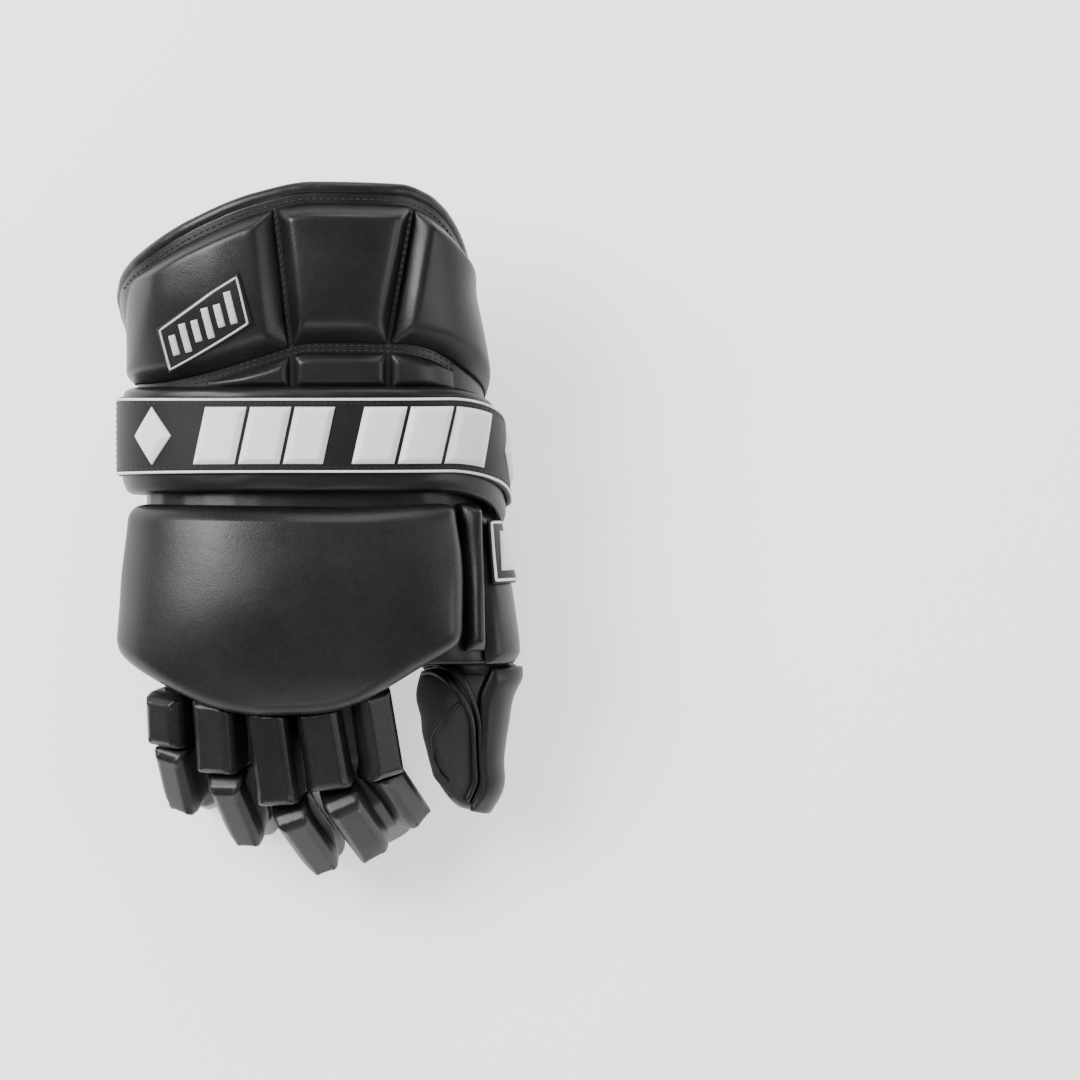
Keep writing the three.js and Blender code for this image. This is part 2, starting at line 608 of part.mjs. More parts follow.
// A finger or thumb: its centre line starts at the finger line, turns at the joint and curls down
class Finger {
  constructor({ base, width, depth, lengths, headings, pitches, lean, taper, drop, length = 0 }) {
    this.width = width;
    this.depth = depth;
    this.taper = taper;
    this.lean = THREE.MathUtils.degToRad(lean);
    this.joints = [lengths[0], lengths[0] + lengths[1]];
    this.headings = headings;
    this.pitches = pitches;
    const start = hand.on(base, -HAND_LENGTH);
    const up = new THREE.Vector3(-Math.sin(this.lean), 0, Math.cos(this.lean));
    const depthHere = depth / 2 + drop;
    this.path = [start.addScaledVector(up, -depthHere).setY(-HAND_LENGTH - CLEARANCE)];
    if (length > 0) this.walk(length);
    else this.reachFloor();
    this.skin = new Skin((along) => this.section(along, 0));
    this.inside = new Skin((along) => this.section(along, FINGER_WALL));
  }

  directionAt(along) {
    const first = smooth(this.joints[0] - JOINT_BEND, this.joints[0] + JOINT_BEND, along);
    const second = smooth(this.joints[1], this.joints[1] + 2 * JOINT_BEND, along);
    const turned = (list) => {
      const angle = mix(mix(list[0], list[1], first), list[2], second);
      return THREE.MathUtils.degToRad(angle) * smooth(0, JOINT_BEND, along);
    };
    const heading = turned(this.headings);
    const pitch = turned(this.pitches);
    const flat = Math.cos(pitch);
    return {
      heading,
      direction: new THREE.Vector3(Math.sin(heading) * flat, -Math.cos(heading) * flat, -Math.sin(pitch)),
    };
  }

  walk(length) {
    while (this.path.length <= Math.ceil(length)) {
      this.path.push(this.path.at(-1).clone().add(this.directionAt(this.path.length - 0.5).direction));
    }
    this.length = length;
  }

  // Walks down the centre line in millimetre steps until the tip stands on the surface
  reachFloor() {
    const longest = 3 * this.joints[1];
    while (this.path.at(-1).z > 0 && this.path.length < longest) {
      const { direction } = this.directionAt(this.path.length - 0.5);
      this.path.push(this.path.at(-1).clone().add(direction));
    }
    const over = this.path.at(-1).z / (this.path.at(-2).z - this.path.at(-1).z);
    this.length = this.path.length - 1 + over;
  }

  frameAt(along) {
    const { heading, direction } = this.directionAt(along);
    const level = new THREE.Vector3(Math.cos(heading), Math.sin(heading), 0);
    const upright = new THREE.Vector3().crossVectors(direction, level);
    const cos = Math.cos(this.lean);
    const sin = Math.sin(this.lean);
    const side = level.clone().multiplyScalar(cos).addScaledVector(upright, sin);
    const back = upright.multiplyScalar(cos).addScaledVector(level, -sin);
    const whole = THREE.MathUtils.clamp(Math.floor(along), 0, this.path.length - 2);
    const centre = this.path[whole].clone().lerp(this.path[whole + 1], along - whole);
    return { centre, side, back, direction };
  }

  shareAt(along) {
    return THREE.MathUtils.clamp(along / this.joints[0], 0, 2);
  }

  halfDepthAt(along) {
    return (this.depth / 2) * mix(1, this.taper.depth, this.shareAt(along));
  }

  section(along, wall, scale = 1) {
    const { centre, side, back } = this.frameAt(along);
    const halfWidth = ((this.width / 2) * mix(1, this.taper.width, this.shareAt(along)) - wall) * scale;
    const halfDepth = (this.halfDepthAt(along) - wall) * scale;
    const power = 2 / PALM_ARCH;
    return Array.from({ length: SECTION_POINTS }, (_, i) => {
      const turn = (2 * Math.PI * i) / SECTION_POINTS;
      const out = Math.sin(turn);
      const up = Math.cos(turn);
      return centre
        .clone()
        .addScaledVector(side, Math.sign(out) * halfWidth * Math.abs(out) ** power)
        .addScaledVector(back, Math.sign(up) * halfDepth * Math.abs(up) ** power);
    });
  }

  // Rings from the open base to the rounded tip, on the outside or on the inside of the wall
  rings(wall, lift) {
    const end = this.length - wall + lift;
    const roundStart = end - TIP_RADIUS;
    const list = [];
    const ring = (along, scale) => {
      const shape = new Skin((at) => this.section(at, wall - lift, scale));
      list.push(shape.ring(along, FINGER_SIDES, 0));
    };
    for (let i = 0; i <= FINGER_STATIONS; i++) ring((roundStart * i) / FINGER_STATIONS, 1);
    for (const share of TIP_STEPS) ring(roundStart + share * TIP_RADIUS, Math.sqrt(1 - share * share));
    return list;
  }

  tip(wall) {
    return this.frameAt(this.length - wall).centre;
  }

  stall() {
    const tips = [this.tip(FINGER_WALL), this.tip(0)];
    return loft([...this.rings(FINGER_WALL, 0).reverse(), ...this.rings(0, 0)], true, tips);
  }

  body(lift) {
    return loft(this.rings(0, lift), true, [undefined, this.tip(-lift)]);
  }

  // The section of the hollow, run straight back into the hand
  way(back) {
    const ring = (along) => this.inside.ring(along, FINGER_SIDES, 0);
    return loft([ring(-back), ring(0)], true);
  }
}

// The cuff: its rim and the curved seam, by distance across
function cuffLine(column, across) {
  const reach = across < 0 ? CUFF_REACH_PINKY : CUFF_REACH_THUMB;
  return CUFF_LENGTH * between(CUFF, 'across', column, across / reach);
}

function cuffSheet(inner, outer) {
  const lifts = [inner, outer];
  return sheet(CUFF_COLUMNS, CUFF_ROWS, (u, v, face) => {
    const across = mix(-CUFF_REACH_PINKY, CUFF_REACH_THUMB, u);
    return hand.lifted(across, mix(-CUFF_TUCK, cuffLine('rim', across), v), lifts[face]);
  });
}

// The folded binding, a padded lip just past the edge of the cuff
function makeBinding() {
  const middle = (CUFF_SEAT + CUFF_FACE) / 2;
  const thick = CUFF_WALL / 2 + BINDING_SWELL;
  const rings = [];
  for (let c = 0; c <= 2 * CUFF_COLUMNS; c++) {
    const across = mix(-CUFF_REACH_PINKY, CUFF_REACH_THUMB, c / (2 * CUFF_COLUMNS));
    const tangent = edgeDirection(across);
    rings.push(Array.from({ length: BINDING_SIDES }, (_, i) => {
      const turn = (2 * Math.PI * i) / BINDING_SIDES;
      const out = CLEARANCE + (BINDING_WIDTH / 2) * (1 + Math.cos(turn));
      const place = new THREE.Vector2(across, cuffLine('rim', across)).addScaledVector(tangent, out);
      return hand.lifted(place.x, place.y, middle + thick * Math.sin(turn));
    }));
  }
  return loft(rings, true);
}

// The way out of the cuff, square to its rim
function edgeDirection(across) {
  const rise = cuffLine('rim', across + SLOPE_STEP) - cuffLine('rim', across - SLOPE_STEP);
  return new THREE.Vector2(-rise, 2 * SLOPE_STEP).normalize();
}

// The outline of a panel between two lines across the cuff, from the curved seam to the rim
function panelOutline(left, right) {
  const columns = PANEL_COLUMNS;
  const outline = [];
  const edge = (u, v) => {
    const low = new THREE.Vector2(mix(left.low, right.low, u), 0);
    low.y = Math.max(cuffLine('seam', low.x), strapTop(low.x)) + SEAM_WIDTH / 2;
    const high = new THREE.Vector2(mix(left.high, right.high, u), 0);
    high.y = cuffLine('rim', high.x);
    high.addScaledVector(edgeDirection(high.x), -PANEL_BORDER);
    return low.lerp(high, v);
  };
  for (let i = 0; i <= columns; i++) outline.push(edge(i / columns, 0));
  for (let i = 1; i < columns; i++) outline.push(edge(1, i / columns));
  for (let i = columns; i >= 0; i--) outline.push(edge(i / columns, 1));
  for (let i = columns - 1; i > 0; i--) outline.push(edge(0, i / columns));
  return outline;
}

// The strap slants towards the fingers on the thumb side
function strapDrop(across) {
  const half = hand.girth(0) / 2;
  const turned = across / half;
  const slanted = smooth(STRAP_SLANT.start, STRAP_SLANT.whole, turned);
  return STRAP_DROP * (slanted - smooth(STRAP_SLANT.back, 1, turned));
}

const strapTop = (across) => STRAP_WIDTH / 2 - strapDrop(across);

function makeStrap(seat, grow) {
  const half = STRAP_WIDTH / 2 + grow;
  const edge = STRAP_EDGE.map(({ drawn, height }) => (
    [half - STRAP_ROUNDING * drawn, STRAP_SEAT + STRAP_THICKNESS * height]
  ));
  const mirrored = edge.map(([along, lift]) => [-along, lift]).reverse();
  const profile = [[-half, seat - grow], [half, seat - grow], ...edge, ...mirrored];
  const rings = [];
  for (let i = 0; i < STRAP_STATIONS; i++) {
    const turned = i / STRAP_STATIONS - 0.5;
    rings.push(profile.map(([along, lift]) => {
      const across = turned * hand.girth(0);
      const place = along - strapDrop(across);
      return hand.lifted((across / hand.girth(0)) * hand.girth(place), place, lift + grow);
    }));
  }
  return loft(rings, false);
}

// The strap's face as a skin of its own: along is measured from the strap's middle line
const strapFace = {
  lifted: (across, along, lift) => hand.lifted(across, along - strapDrop(across), lift),
};

// The label's face is straight between its long edges. Lifts start from it.
const labelFace = {
  lifted: (across, along, lift) => {
    const edge = LABEL_SHIFT - LABEL_WIDTH / 2;
    const low = strapFace.lifted(across, edge, LABEL_FACE);
    const high = strapFace.lifted(across, edge + LABEL_WIDTH, LABEL_FACE);
    const normal = hand.normal(across, along - strapDrop(across));
    return low.lerp(high, (along - edge) / LABEL_WIDTH).addScaledVector(normal, lift);
  },
};

function makeLabel() {
  const label = sheet(LABEL_COLUMNS, 1, (u, v, face) => {
    const across = mix(-LABEL_REACH_PINKY, LABEL_REACH_THUMB, u);
    return labelFace.lifted(across, LABEL_SHIFT + (v - 0.5) * LABEL_WIDTH, face ? 0 : -LABEL_THICKNESS);
  });
  return label.subtract(strapRoom);
}

const labelPlace = (share) => share * (share < 0 ? LABEL_REACH_PINKY : LABEL_REACH_THUMB);

// A four-sided raised plate on the label. u and v are its sides from one corner, and its top is drawn in
// by the bevel.
function raisedPlate(corner, u, v, columns, rows) {
  const inU = BLOCK_BEVEL / u.length();
  const inV = BLOCK_BEVEL / v.length();
  return sheet(columns, rows, (alongU, alongV, face) => {
    const shareU = face ? mix(inU, 1 - inU, alongU) : alongU;
    const shareV = face ? mix(inV, 1 - inV, alongV) : alongV;
    const place = corner.clone().addScaledVector(u, shareU).addScaledVector(v, shareV);
    return labelFace.lifted(place.x, place.y, face ? BLOCK_HEIGHT : CLEARANCE);
  });
}

// A slanted block. Its far corner is the near one moved by the slant.
function makeBlock(across) {
  const left = across - (BLOCK_LENGTH + BLOCK_SLANT) / 2;
  const corner = new THREE.Vector2(left, LABEL_SHIFT - BLOCK_WIDTH / 2);
  const far = new THREE.Vector2(BLOCK_SLANT, BLOCK_WIDTH);
  return raisedPlate(corner, new THREE.Vector2(BLOCK_LENGTH, 0), far, BLOCK_COLUMNS, 1);
}

function makeDiamond(across) {
  const half = new THREE.Vector2(BLOCK_LENGTH / 2, BLOCK_WIDTH / 2);
  const corner = new THREE.Vector2(across - half.x, LABEL_SHIFT);
  return raisedPlate(corner, new THREE.Vector2(half.x, -half.y), half, DIAMOND_COLUMNS, DIAMOND_COLUMNS);
}

// The pad over the back of the hand
function backPad(grow) {
  const outline = rounded(PAD_CORNERS.map(({ across, along, radius }) => ({
    across: across * (across < 0 ? PAD_REACH_PINKY : PAD_REACH_THUMB),
    along: PAD_START - along * PAD_LENGTH,
    radius,
  })));
  return pad(hand, outline, shoulder(PAD_HEIGHT, PAD_BEVEL), { crown: PAD_CROWN, rings: 3, grow });
}

// A roll is a straight block of foam. Its across and along run square to each other on the flat that
// the finger has at the roll's middle.
function rollPad(row, segment, grow) {
  const finger = fingers[row.finger];
  const [joint, end] = finger.joints;
  const upper = segment === 'upper';
  const from = upper ? ROLL_TUCK : joint - ROLL_REACH_BACK;
  const to = upper ? joint : end + LOWER_OVERRUN;
  const middle = ((upper ? from : joint) + to) / 2;
  const { centre, side, back, direction } = finger.frameAt(middle);
  const tip = THREE.MathUtils.degToRad(row.tip);
  const sideways = side.clone().multiplyScalar(Math.cos(tip)).addScaledVector(back, -Math.sin(tip));
  const outward = back.clone().multiplyScalar(Math.cos(tip)).addScaledVector(side, Math.sin(tip));
  const radius = finger.halfDepthAt(middle);
  const block = {
    lifted: (across, along, lift) => centre
      .clone()
      .addScaledVector(sideways, across)
      .addScaledVector(direction, along - middle)
      .addScaledVector(outward, radius + lift),
  };
  const width = ROLL_WIDTH * row.width * (upper ? 1 : LOWER_NARROWING);
  const shift = row.shift * finger.width;
  const outline = rectangle(shift - width / 2, shift + width / 2, from, to, ROLL_CORNER);
  return pad(block, outline, shoulder(ROLL_HEIGHT, ROLL_BEVEL, 0, ROLL_WRAP), { rings: 0, grow });
}

const model = new THREE.Group();
const rollRooms = [];

function add(name, shape, color, roughness = 0.5) {
  const material = new THREE.MeshStandardMaterial({ color, roughness, metalness: 0 });
  const mesh = new THREE.Mesh(geometryOf(shape), material);
  mesh.name = name;
  model.add(mesh);
}

add('hand_shell', makeHandShell(), COLORS.leather);
const handRoom = handBody(CLEARANCE, -SPARE_STATIONS, HAND_STATIONS);
const handCore = handBody(0, -SPARE_STATIONS, 2 * HAND_STATIONS);

const fingers = {};
for (const row of FINGERS) {
  const reach = row.base < 0 ? PINKY_REACH : THUMB_REACH;
  fingers[row.name] = new Finger({
    base: row.base * reach,
    width: FINGER_WIDTH * row.width,
    depth: FINGER_DEPTH * row.depth,
    lengths: [UPPER_LENGTH * row.upper, LOWER_LENGTH * row.lower],
    headings: row.headings,
    pitches: row.pitches,
    lean: row.lean,
    taper: FINGER_TAPER,
    drop: KNUCKLE_DROP,
  });
  add(`finger_stall_${row.name}`, fingers[row.name].stall(), COLORS.leather);
}

const thumb = new Finger({
  ...THUMB,
  base: THUMB.base * THUMB_REACH,
  width: THUMB_WIDTH,
  depth: THUMB_DEPTH,
  lengths: [THUMB_LENGTH * THUMB.upper, THUMB_LENGTH * THUMB.lower],
  drop: KNUCKLE_DROP,
  length: THUMB_LENGTH,
});
add('thumb_stall', thumb.stall(), COLORS.leather);
const digits = [...Object.values(fingers), thumb];
add('finger_webbing', makeWebbing(digits.map((digit) => digit.way(2 * WEB_THICKNESS))), COLORS.leather);

// Cuff
add('cuff_shell', cuffSheet(CUFF_SEAT, CUFF_FACE), COLORS.leather);
add('cuff_binding', makeBinding(), COLORS.leather);
const cuffRoom = cuffSheet(-SINK, CUFF_FACE + CLEARANCE);
const seatOnCuff = (shape) => shape.subtract(cuffRoom).subtract(handCore);
const [seamOne, seamTwo] = PANEL_SEAMS;
const gap = SEAM_WIDTH / 2;
const line = (seam, reach, side) => ({ low: reach * seam.low + side, high: reach * seam.high + side });
const panelEdges = [
  {
    name: 'pinky',
    left: line(PANEL_ENDS.pinky, CUFF_REACH_PINKY, 0),
    right: line(seamOne, CUFF_REACH_PINKY, -gap),
  },
  {
    name: 'center',
    left: line(seamOne, CUFF_REACH_PINKY, gap),
    right: line(seamTwo, CUFF_REACH_THUMB, -gap),
  },
  {
    name: 'thumb',
    left: line(seamTwo, CUFF_REACH_THUMB, gap),
    right: line(PANEL_ENDS.thumb, CUFF_REACH_THUMB, 0),
  },
];
const panelRooms = {};
for (const { name, left, right } of panelEdges) {
  const profile = shoulder(PANEL_HEIGHT, PANEL_BEVEL, CUFF_FACE);
  const shape = pad(hand, panelOutline(left, right), profile, { crown: PANEL_CROWN, rings: 2 });
  panelRooms[name] = pad(hand, panelOutline(left, right), profile, {
    crown: PANEL_CROWN, rings: 2, grow: CLEARANCE,
  });
  add(`cuff_panel_${name}`, seatOnCuff(shape), COLORS.leather);
}

// Strap, label and the raised blocks
add('wrist_strap', makeStrap(STRAP_SEAT, 0), COLORS.leather);
const strapRoom = makeStrap(-SINK, CLEARANCE);
add('strap_label', makeLabel(), COLORS.rubber);
for (let i = 0; i < BLOCK_ROWS.length * BLOCKS_IN_ROW; i++) {
  const first = labelPlace(BLOCK_ROWS[Math.floor(i / BLOCKS_IN_ROW)]);
  const across = first + (i % BLOCKS_IN_ROW) * (BLOCK_LENGTH + BLOCK_GAP);
  add(`label_block_${i + 1}`, makeBlock(across), COLORS.white);
}
DIAMONDS.forEach((share, i) => add(`label_diamond_${i + 1}`, makeDiamond(labelPlace(share)), COLORS.white));

// Pads of the hand
add('backhand_pad', backPad(0).subtract(handRoom), COLORS.leather);
const padRoom = backPad(2 * CLEARANCE);
const fingerRooms = digits.map((digit) => digit.body(CLEARANCE));

for (const row of ROLLS) {
  for (const segment of ['upper', 'lower']) {
    let shape = rollPad(row, segment, 0).subtract(padRoom);
    for (const room of [...fingerRooms, ...rollRooms]) shape = shape.subtract(room);
    rollRooms.push(rollPad(row, segment, ROLL_SPACE));
    add(`roll_${row.name}_${segment}`, largest(shape), COLORS.leather);
  }
}

// The flexing strip between the strap and the curved seam, in three low pads
const flexEdges = [
  { name: 'pinky', left: FLEX_ENDS.pinky * CUFF_REACH_PINKY, right: seamOne.low * CUFF_REACH_PINKY - gap },
  { name: 'center', left: seamOne.low * CUFF_REACH_PINKY + gap, right: seamTwo.low * CUFF_REACH_THUMB - gap },
  { name: 'thumb', left: seamTwo.low * CUFF_REACH_THUMB + gap, right: FLEX_ENDS.thumb * CUFF_REACH_THUMB },
];
for (const { name, left, right } of flexEdges) {
  const outline = [];
  for (let i = 0; i <= FLEX_COLUMNS; i++) {
    const across = mix(left, right, i / FLEX_COLUMNS);
    outline.push(new THREE.Vector2(across, strapTop(across) + CLEARANCE));
  }
  for (let i = FLEX_COLUMNS; i >= 0; i--) {
    const across = mix(left, right, i / FLEX_COLUMNS);
    const high = Math.max(cuffLine('seam', across) - SEAM_WIDTH / 2, strapTop(across) + FLEX_LEAST);
    outline.push(new THREE.Vector2(across, high));
  }
  const profile = shoulder(FLEX_HEIGHT, FLEX_BEVEL, CUFF_FACE);
  add(`flex_panel_${name}`, seatOnCuff(pad(hand, outline, profile, { rings: 0 })), COLORS.leather);
}

// The patch on the little finger's panel: a slanted four-sided plate, turned on the panel
const turnedCorner = (x, y) => {
  const corner = new THREE.Vector2(x * PATCH_LENGTH, y * PATCH_WIDTH);
  corner.rotateAround(new THREE.Vector2(), THREE.MathUtils.degToRad(PATCH_TURN));
  return { across: corner.x - PATCH_ACROSS, along: corner.y + PATCH_ALONG, radius: PATCH_CORNER };
};
const patchTop = CUFF_FACE + PANEL_HEIGHT + PANEL_CROWN;
const patchOutline = rounded([
  turnedCorner(-0.5, -0.5),
  turnedCorner(0.5 - PATCH_SLANT, -0.5),
  turnedCorner(0.5, 0.5),
  turnedCorner(PATCH_SLANT - 0.5, 0.5),
]);
const patchProfile = plateProfile(patchTop - SINK, patchTop, PATCH_HEIGHT, PATCH_BEVEL);
add('emblem_patch', pad(hand, patchOutline, patchProfile, { rings: 1 }).subtract(panelRooms.pinky),
  COLORS.rubber);

// Along the thumb side of the hand: a narrow roll beside the pad, a badge and the thumb's guard
const sideRollAcross = PAD_REACH_THUMB + SIDE_ROLL_GAP;
const sideRoll = rectangle(sideRollAcross, sideRollAcross + SIDE_ROLL_WIDTH, PAD_START,
  PAD_START - SIDE_ROLL_LENGTH, SIDE_ROLL_BEVEL);
let sideRollShape = pad(hand, sideRoll, shoulder(SIDE_ROLL_HEIGHT, SIDE_ROLL_BEVEL), { rings: 0 });
for (const room of [handRoom, padRoom, strapRoom]) sideRollShape = sideRollShape.subtract(room);
add('thumb_side_roll', sideRollShape, COLORS.leather);

const badgeEnd = BADGE_START - BADGE_LENGTH;
const badge = rectangle(BADGE_ACROSS, BADGE_ACROSS + BADGE_WIDTH, BADGE_START, badgeEnd, BADGE_CORNER);
const badgeProfile = plateProfile(-SINK, 0, BADGE_HEIGHT, BADGE_BEVEL);
add('side_badge', pad(hand, badge, badgeProfile, { rings: 1 }).subtract(handRoom), COLORS.rubber);

const upperGuard = rectangle(GUARD_ACROSS, GUARD_ACROSS + GUARD_WIDTH, badgeEnd - GUARD_GAP,
  END_MARGIN - HAND_LENGTH, GUARD_CORNER);
const guardProfile = shoulder(GUARD_HEIGHT, GUARD_BEVEL);
const upperGuardShape = pad(hand, upperGuard, guardProfile, { rings: 1 }).subtract(handRoom);
add('thumb_guard_upper', upperGuardShape, COLORS.leather);

const thumbRoom = thumb.body(CLEARANCE);
function thumbCover({ left, right, start, short, radius }, profile) {
  const end = THUMB_LENGTH - TIP_RADIUS * short;
  const outline = rectangle(left * THUMB_WIDTH, right * THUMB_WIDTH, start, end, radius);
  return pad(thumb.skin, outline, profile, { rings: 2 }).subtract(thumbRoom);
}
add('thumb_guard_lower', thumbCover(THUMB_COVERS.guard, guardProfile), COLORS.leather);
const gussetProfile = [{ drawn: 0, height: -SINK }, { drawn: 0, height: GUSSET_HEIGHT }];
add('thumb_gusset', thumbCover(THUMB_COVERS.gusset, gussetProfile), COLORS.lining);

// The patch of leather in the palm
const palmMiddle = hand.girth(-HAND_LENGTH / 2) / 2;
const palm = rectangle(palmMiddle - PALM_PATCH_WIDTH / 2, palmMiddle + PALM_PATCH_WIDTH / 2,
  PALM_PATCH_START, END_MARGIN - HAND_LENGTH, PALM_PATCH_CORNER);
const palmProfile = [{ drawn: 0, height: -SINK }, { drawn: 0, height: PALM_PATCH_HEIGHT }];
add('palm_patch', pad(hand, palm, palmProfile, { rings: 2 }).subtract(handRoom), COLORS.palm);

// The origin is under the middle of the glove, on the surface that it lies on
const extent = new THREE.Box3().setFromObject(model);
const middle = extent.getCenter(new THREE.Vector3());
model.position.set(-middle.x, -middle.y, -extent.min.z);

export default model;
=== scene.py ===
"""The looks of a padded field glove for the right hand, lying palm down with its fingers curled.

The glove is modelled flat, as its panels are cut, and laid over the smooth form of the hand. Sizes are
millimetres until a piece is laid. A laid piece is in metres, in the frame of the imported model.
"""

import logging
import math
from dataclasses import dataclass
from enum import Enum
from typing import Callable, Protocol, Sequence

import bpy
import numpy as np
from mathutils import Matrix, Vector
from mathutils.kdtree import KDTree


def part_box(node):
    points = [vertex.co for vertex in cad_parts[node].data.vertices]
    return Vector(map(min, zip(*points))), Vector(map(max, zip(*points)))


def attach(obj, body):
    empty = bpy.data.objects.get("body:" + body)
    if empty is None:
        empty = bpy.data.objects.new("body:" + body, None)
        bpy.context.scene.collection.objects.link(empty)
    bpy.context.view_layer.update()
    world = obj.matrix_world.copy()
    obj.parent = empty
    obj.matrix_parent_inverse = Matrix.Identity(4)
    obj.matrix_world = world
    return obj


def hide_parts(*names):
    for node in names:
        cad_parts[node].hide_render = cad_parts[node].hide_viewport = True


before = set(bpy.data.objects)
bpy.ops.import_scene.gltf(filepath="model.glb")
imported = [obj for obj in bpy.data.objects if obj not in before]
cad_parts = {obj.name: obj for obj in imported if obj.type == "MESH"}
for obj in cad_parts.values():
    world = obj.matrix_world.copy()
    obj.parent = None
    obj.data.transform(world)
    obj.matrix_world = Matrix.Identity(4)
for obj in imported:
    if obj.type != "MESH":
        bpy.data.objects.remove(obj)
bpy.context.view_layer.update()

log = logging.getLogger("glove")
MM = 0.001
BODY = "root"

# The hand form
HAND_LENGTH = 98.0
CUFF_LENGTH = 108.0
PINKY_REACH = 77.0
THUMB_REACH = 70.0
CREST_RISE = 75.0
ARCH = 2.4
PALM_ARCH = 3.0
PALM_FLATNESS = 1.15

# The stack of cuff, strap and label on the hand
CLEARANCE = 0.3
FACET_ROOM = 0.6
CUFF_WALL = 3.0
STRAP_THICKNESS = 5.2
LABEL_THICKNESS = 2.0
CUFF_SEAT = CLEARANCE + FACET_ROOM
CUFF_FACE = CUFF_SEAT + CUFF_WALL
STRAP_SEAT = CUFF_FACE + CLEARANCE + FACET_ROOM
STRAP_FACE = STRAP_SEAT + STRAP_THICKNESS
LABEL_FACE = STRAP_FACE + CLEARANCE + FACET_ROOM + LABEL_THICKNESS
PALM_LEVEL = STRAP_FACE

# Widths that more than one piece follows
CUFF_REACH_PINKY = 128.0
CUFF_REACH_THUMB = 116.0
STRAP_WIDTH = 47.0
STRAP_DROP = 16.0
LABEL_WIDTH = 35.0
LABEL_SHIFT = 2.0

# Filling as cloth
CLOTH_FRAMES = 20
CLOTH_NEIGHBOURS = 10
SEAT_REACH = 0.9

# Raised strips and copies of CAD nodes
PIPING_STEP = 1.2
PIPING_ROWS = 8
CAD_MERGE = 0.02

# Sections of the hand form: place along, reaches, crest, its middle and the palm, as shares
FORM = (
    (-1.35, 0.98, 1.00, 0.84, 0.58, 0.42),
    (-1.00, 1.03, 1.22, 0.98, 0.53, 0.36),
    (-0.70, 1.01, 1.17, 1.03, 0.44, 0.14),
    (-0.46, 1.00, 1.08, 1.02, 0.42, 0.00),
    (-0.10, 1.00, 1.00, 1.00, 0.42, 0.00),
    (0.23, 1.00, 0.98, 1.04, 0.42, 0.00),
    (0.60, 1.10, 0.91, 1.17, 0.42, 0.00),
    (1.15, 1.12, 0.86, 1.25, 0.42, 0.00),
)

# The cuff's rim and its curved seam: place across as a share of the reach, then shares of its length
CUFF = (
    (-1.00, 0.27, 0.22), (-0.90, 0.46, 0.22), (-0.80, 0.58, 0.22), (-0.70, 0.66, 0.22),
    (-0.59, 0.73, 0.22), (-0.41, 0.84, 0.25), (-0.18, 0.945, 0.33), (0.00, 0.985, 0.385),
    (0.32, 0.98, 0.38), (0.42, 0.95, 0.36), (0.50, 0.90, 0.32), (0.60, 0.81, 0.26),
    (0.75, 0.65, 0.20), (0.88, 0.45, 0.16), (1.00, 0.25, 0.14),
)
RIM = 1
SEAM = 2


def smooth(low: float, high: float, value: np.ndarray) -> np.ndarray:
    """Return a smooth step of value from 0 at low to 1 at high.

    Args:
        low: Where the step starts.
        high: Where it ends.
        value: The values to step.

    Returns:
        The step at each value.
    """
    share = np.clip((np.asarray(value, float) - low) / (high - low), 0, 1)
    return share * share * (3 - 2 * share)


def between(table: Sequence[Sequence[float]], column: int, value: np.ndarray) -> np.ndarray:
    """Read a column of a table between its rows, on a curve that never swings past them.

    Args:
        table: Rows whose first entry is the key, in rising order.
        column: The column to read.
        value: The keys to read it at.

    Returns:
        The values of the column.
    """
    keys = np.array([row[0] for row in table])
    data = np.array([row[column] for row in table])
    slopes = np.diff(data) / np.diff(keys)
    inner = np.where(slopes[:-1] * slopes[1:] > 0,
                     2 * slopes[:-1] * slopes[1:] / (slopes[:-1] + slopes[1:] + 1e-12), 0)
    tangents = np.concatenate(([slopes[0]], inner, [slopes[-1]]))
    value = np.clip(np.asarray(value, float), keys[0], keys[-1])
    row = np.clip(np.searchsorted(keys, value) - 1, 0, len(keys) - 2)
    span = keys[row + 1] - keys[row]
    t = (value - keys[row]) / span
    return ((2 * t**3 - 3 * t**2 + 1) * data[row] + (t**3 - 2 * t**2 + t) * span * tangents[row]
            + (3 * t**2 - 2 * t**3) * data[row + 1] + (t**3 - t**2) * span * tangents[row + 1])


def wobble(x: np.ndarray, y: np.ndarray, size: float, seed: int) -> np.ndarray:
    """Return a smooth unevenness, the same on each run.

    Args:
        x: Places across.
        y: Places along.
        size: Rough size of its swells.
        seed: Which unevenness.

    Returns:
        The unevenness at each place, mostly between -1 and 1.
    """
    rng = np.random.default_rng(seed)
    total = np.zeros(np.broadcast(x, y).shape)
    for _ in range(7):
        turn = rng.uniform(0, math.tau)
        wave = math.tau / (size * rng.uniform(0.7, 1.6))
        total += np.sin(wave * (np.cos(turn) * x + np.sin(turn) * y) + rng.uniform(0, math.tau))
    return total / 4


class Surface(Protocol):
    """Anything that flat pieces can be laid on."""

    def place(self, across: np.ndarray, along: np.ndarray, lift: np.ndarray) -> np.ndarray:
        """Return points in metres that stand lift millimetres off the surface."""


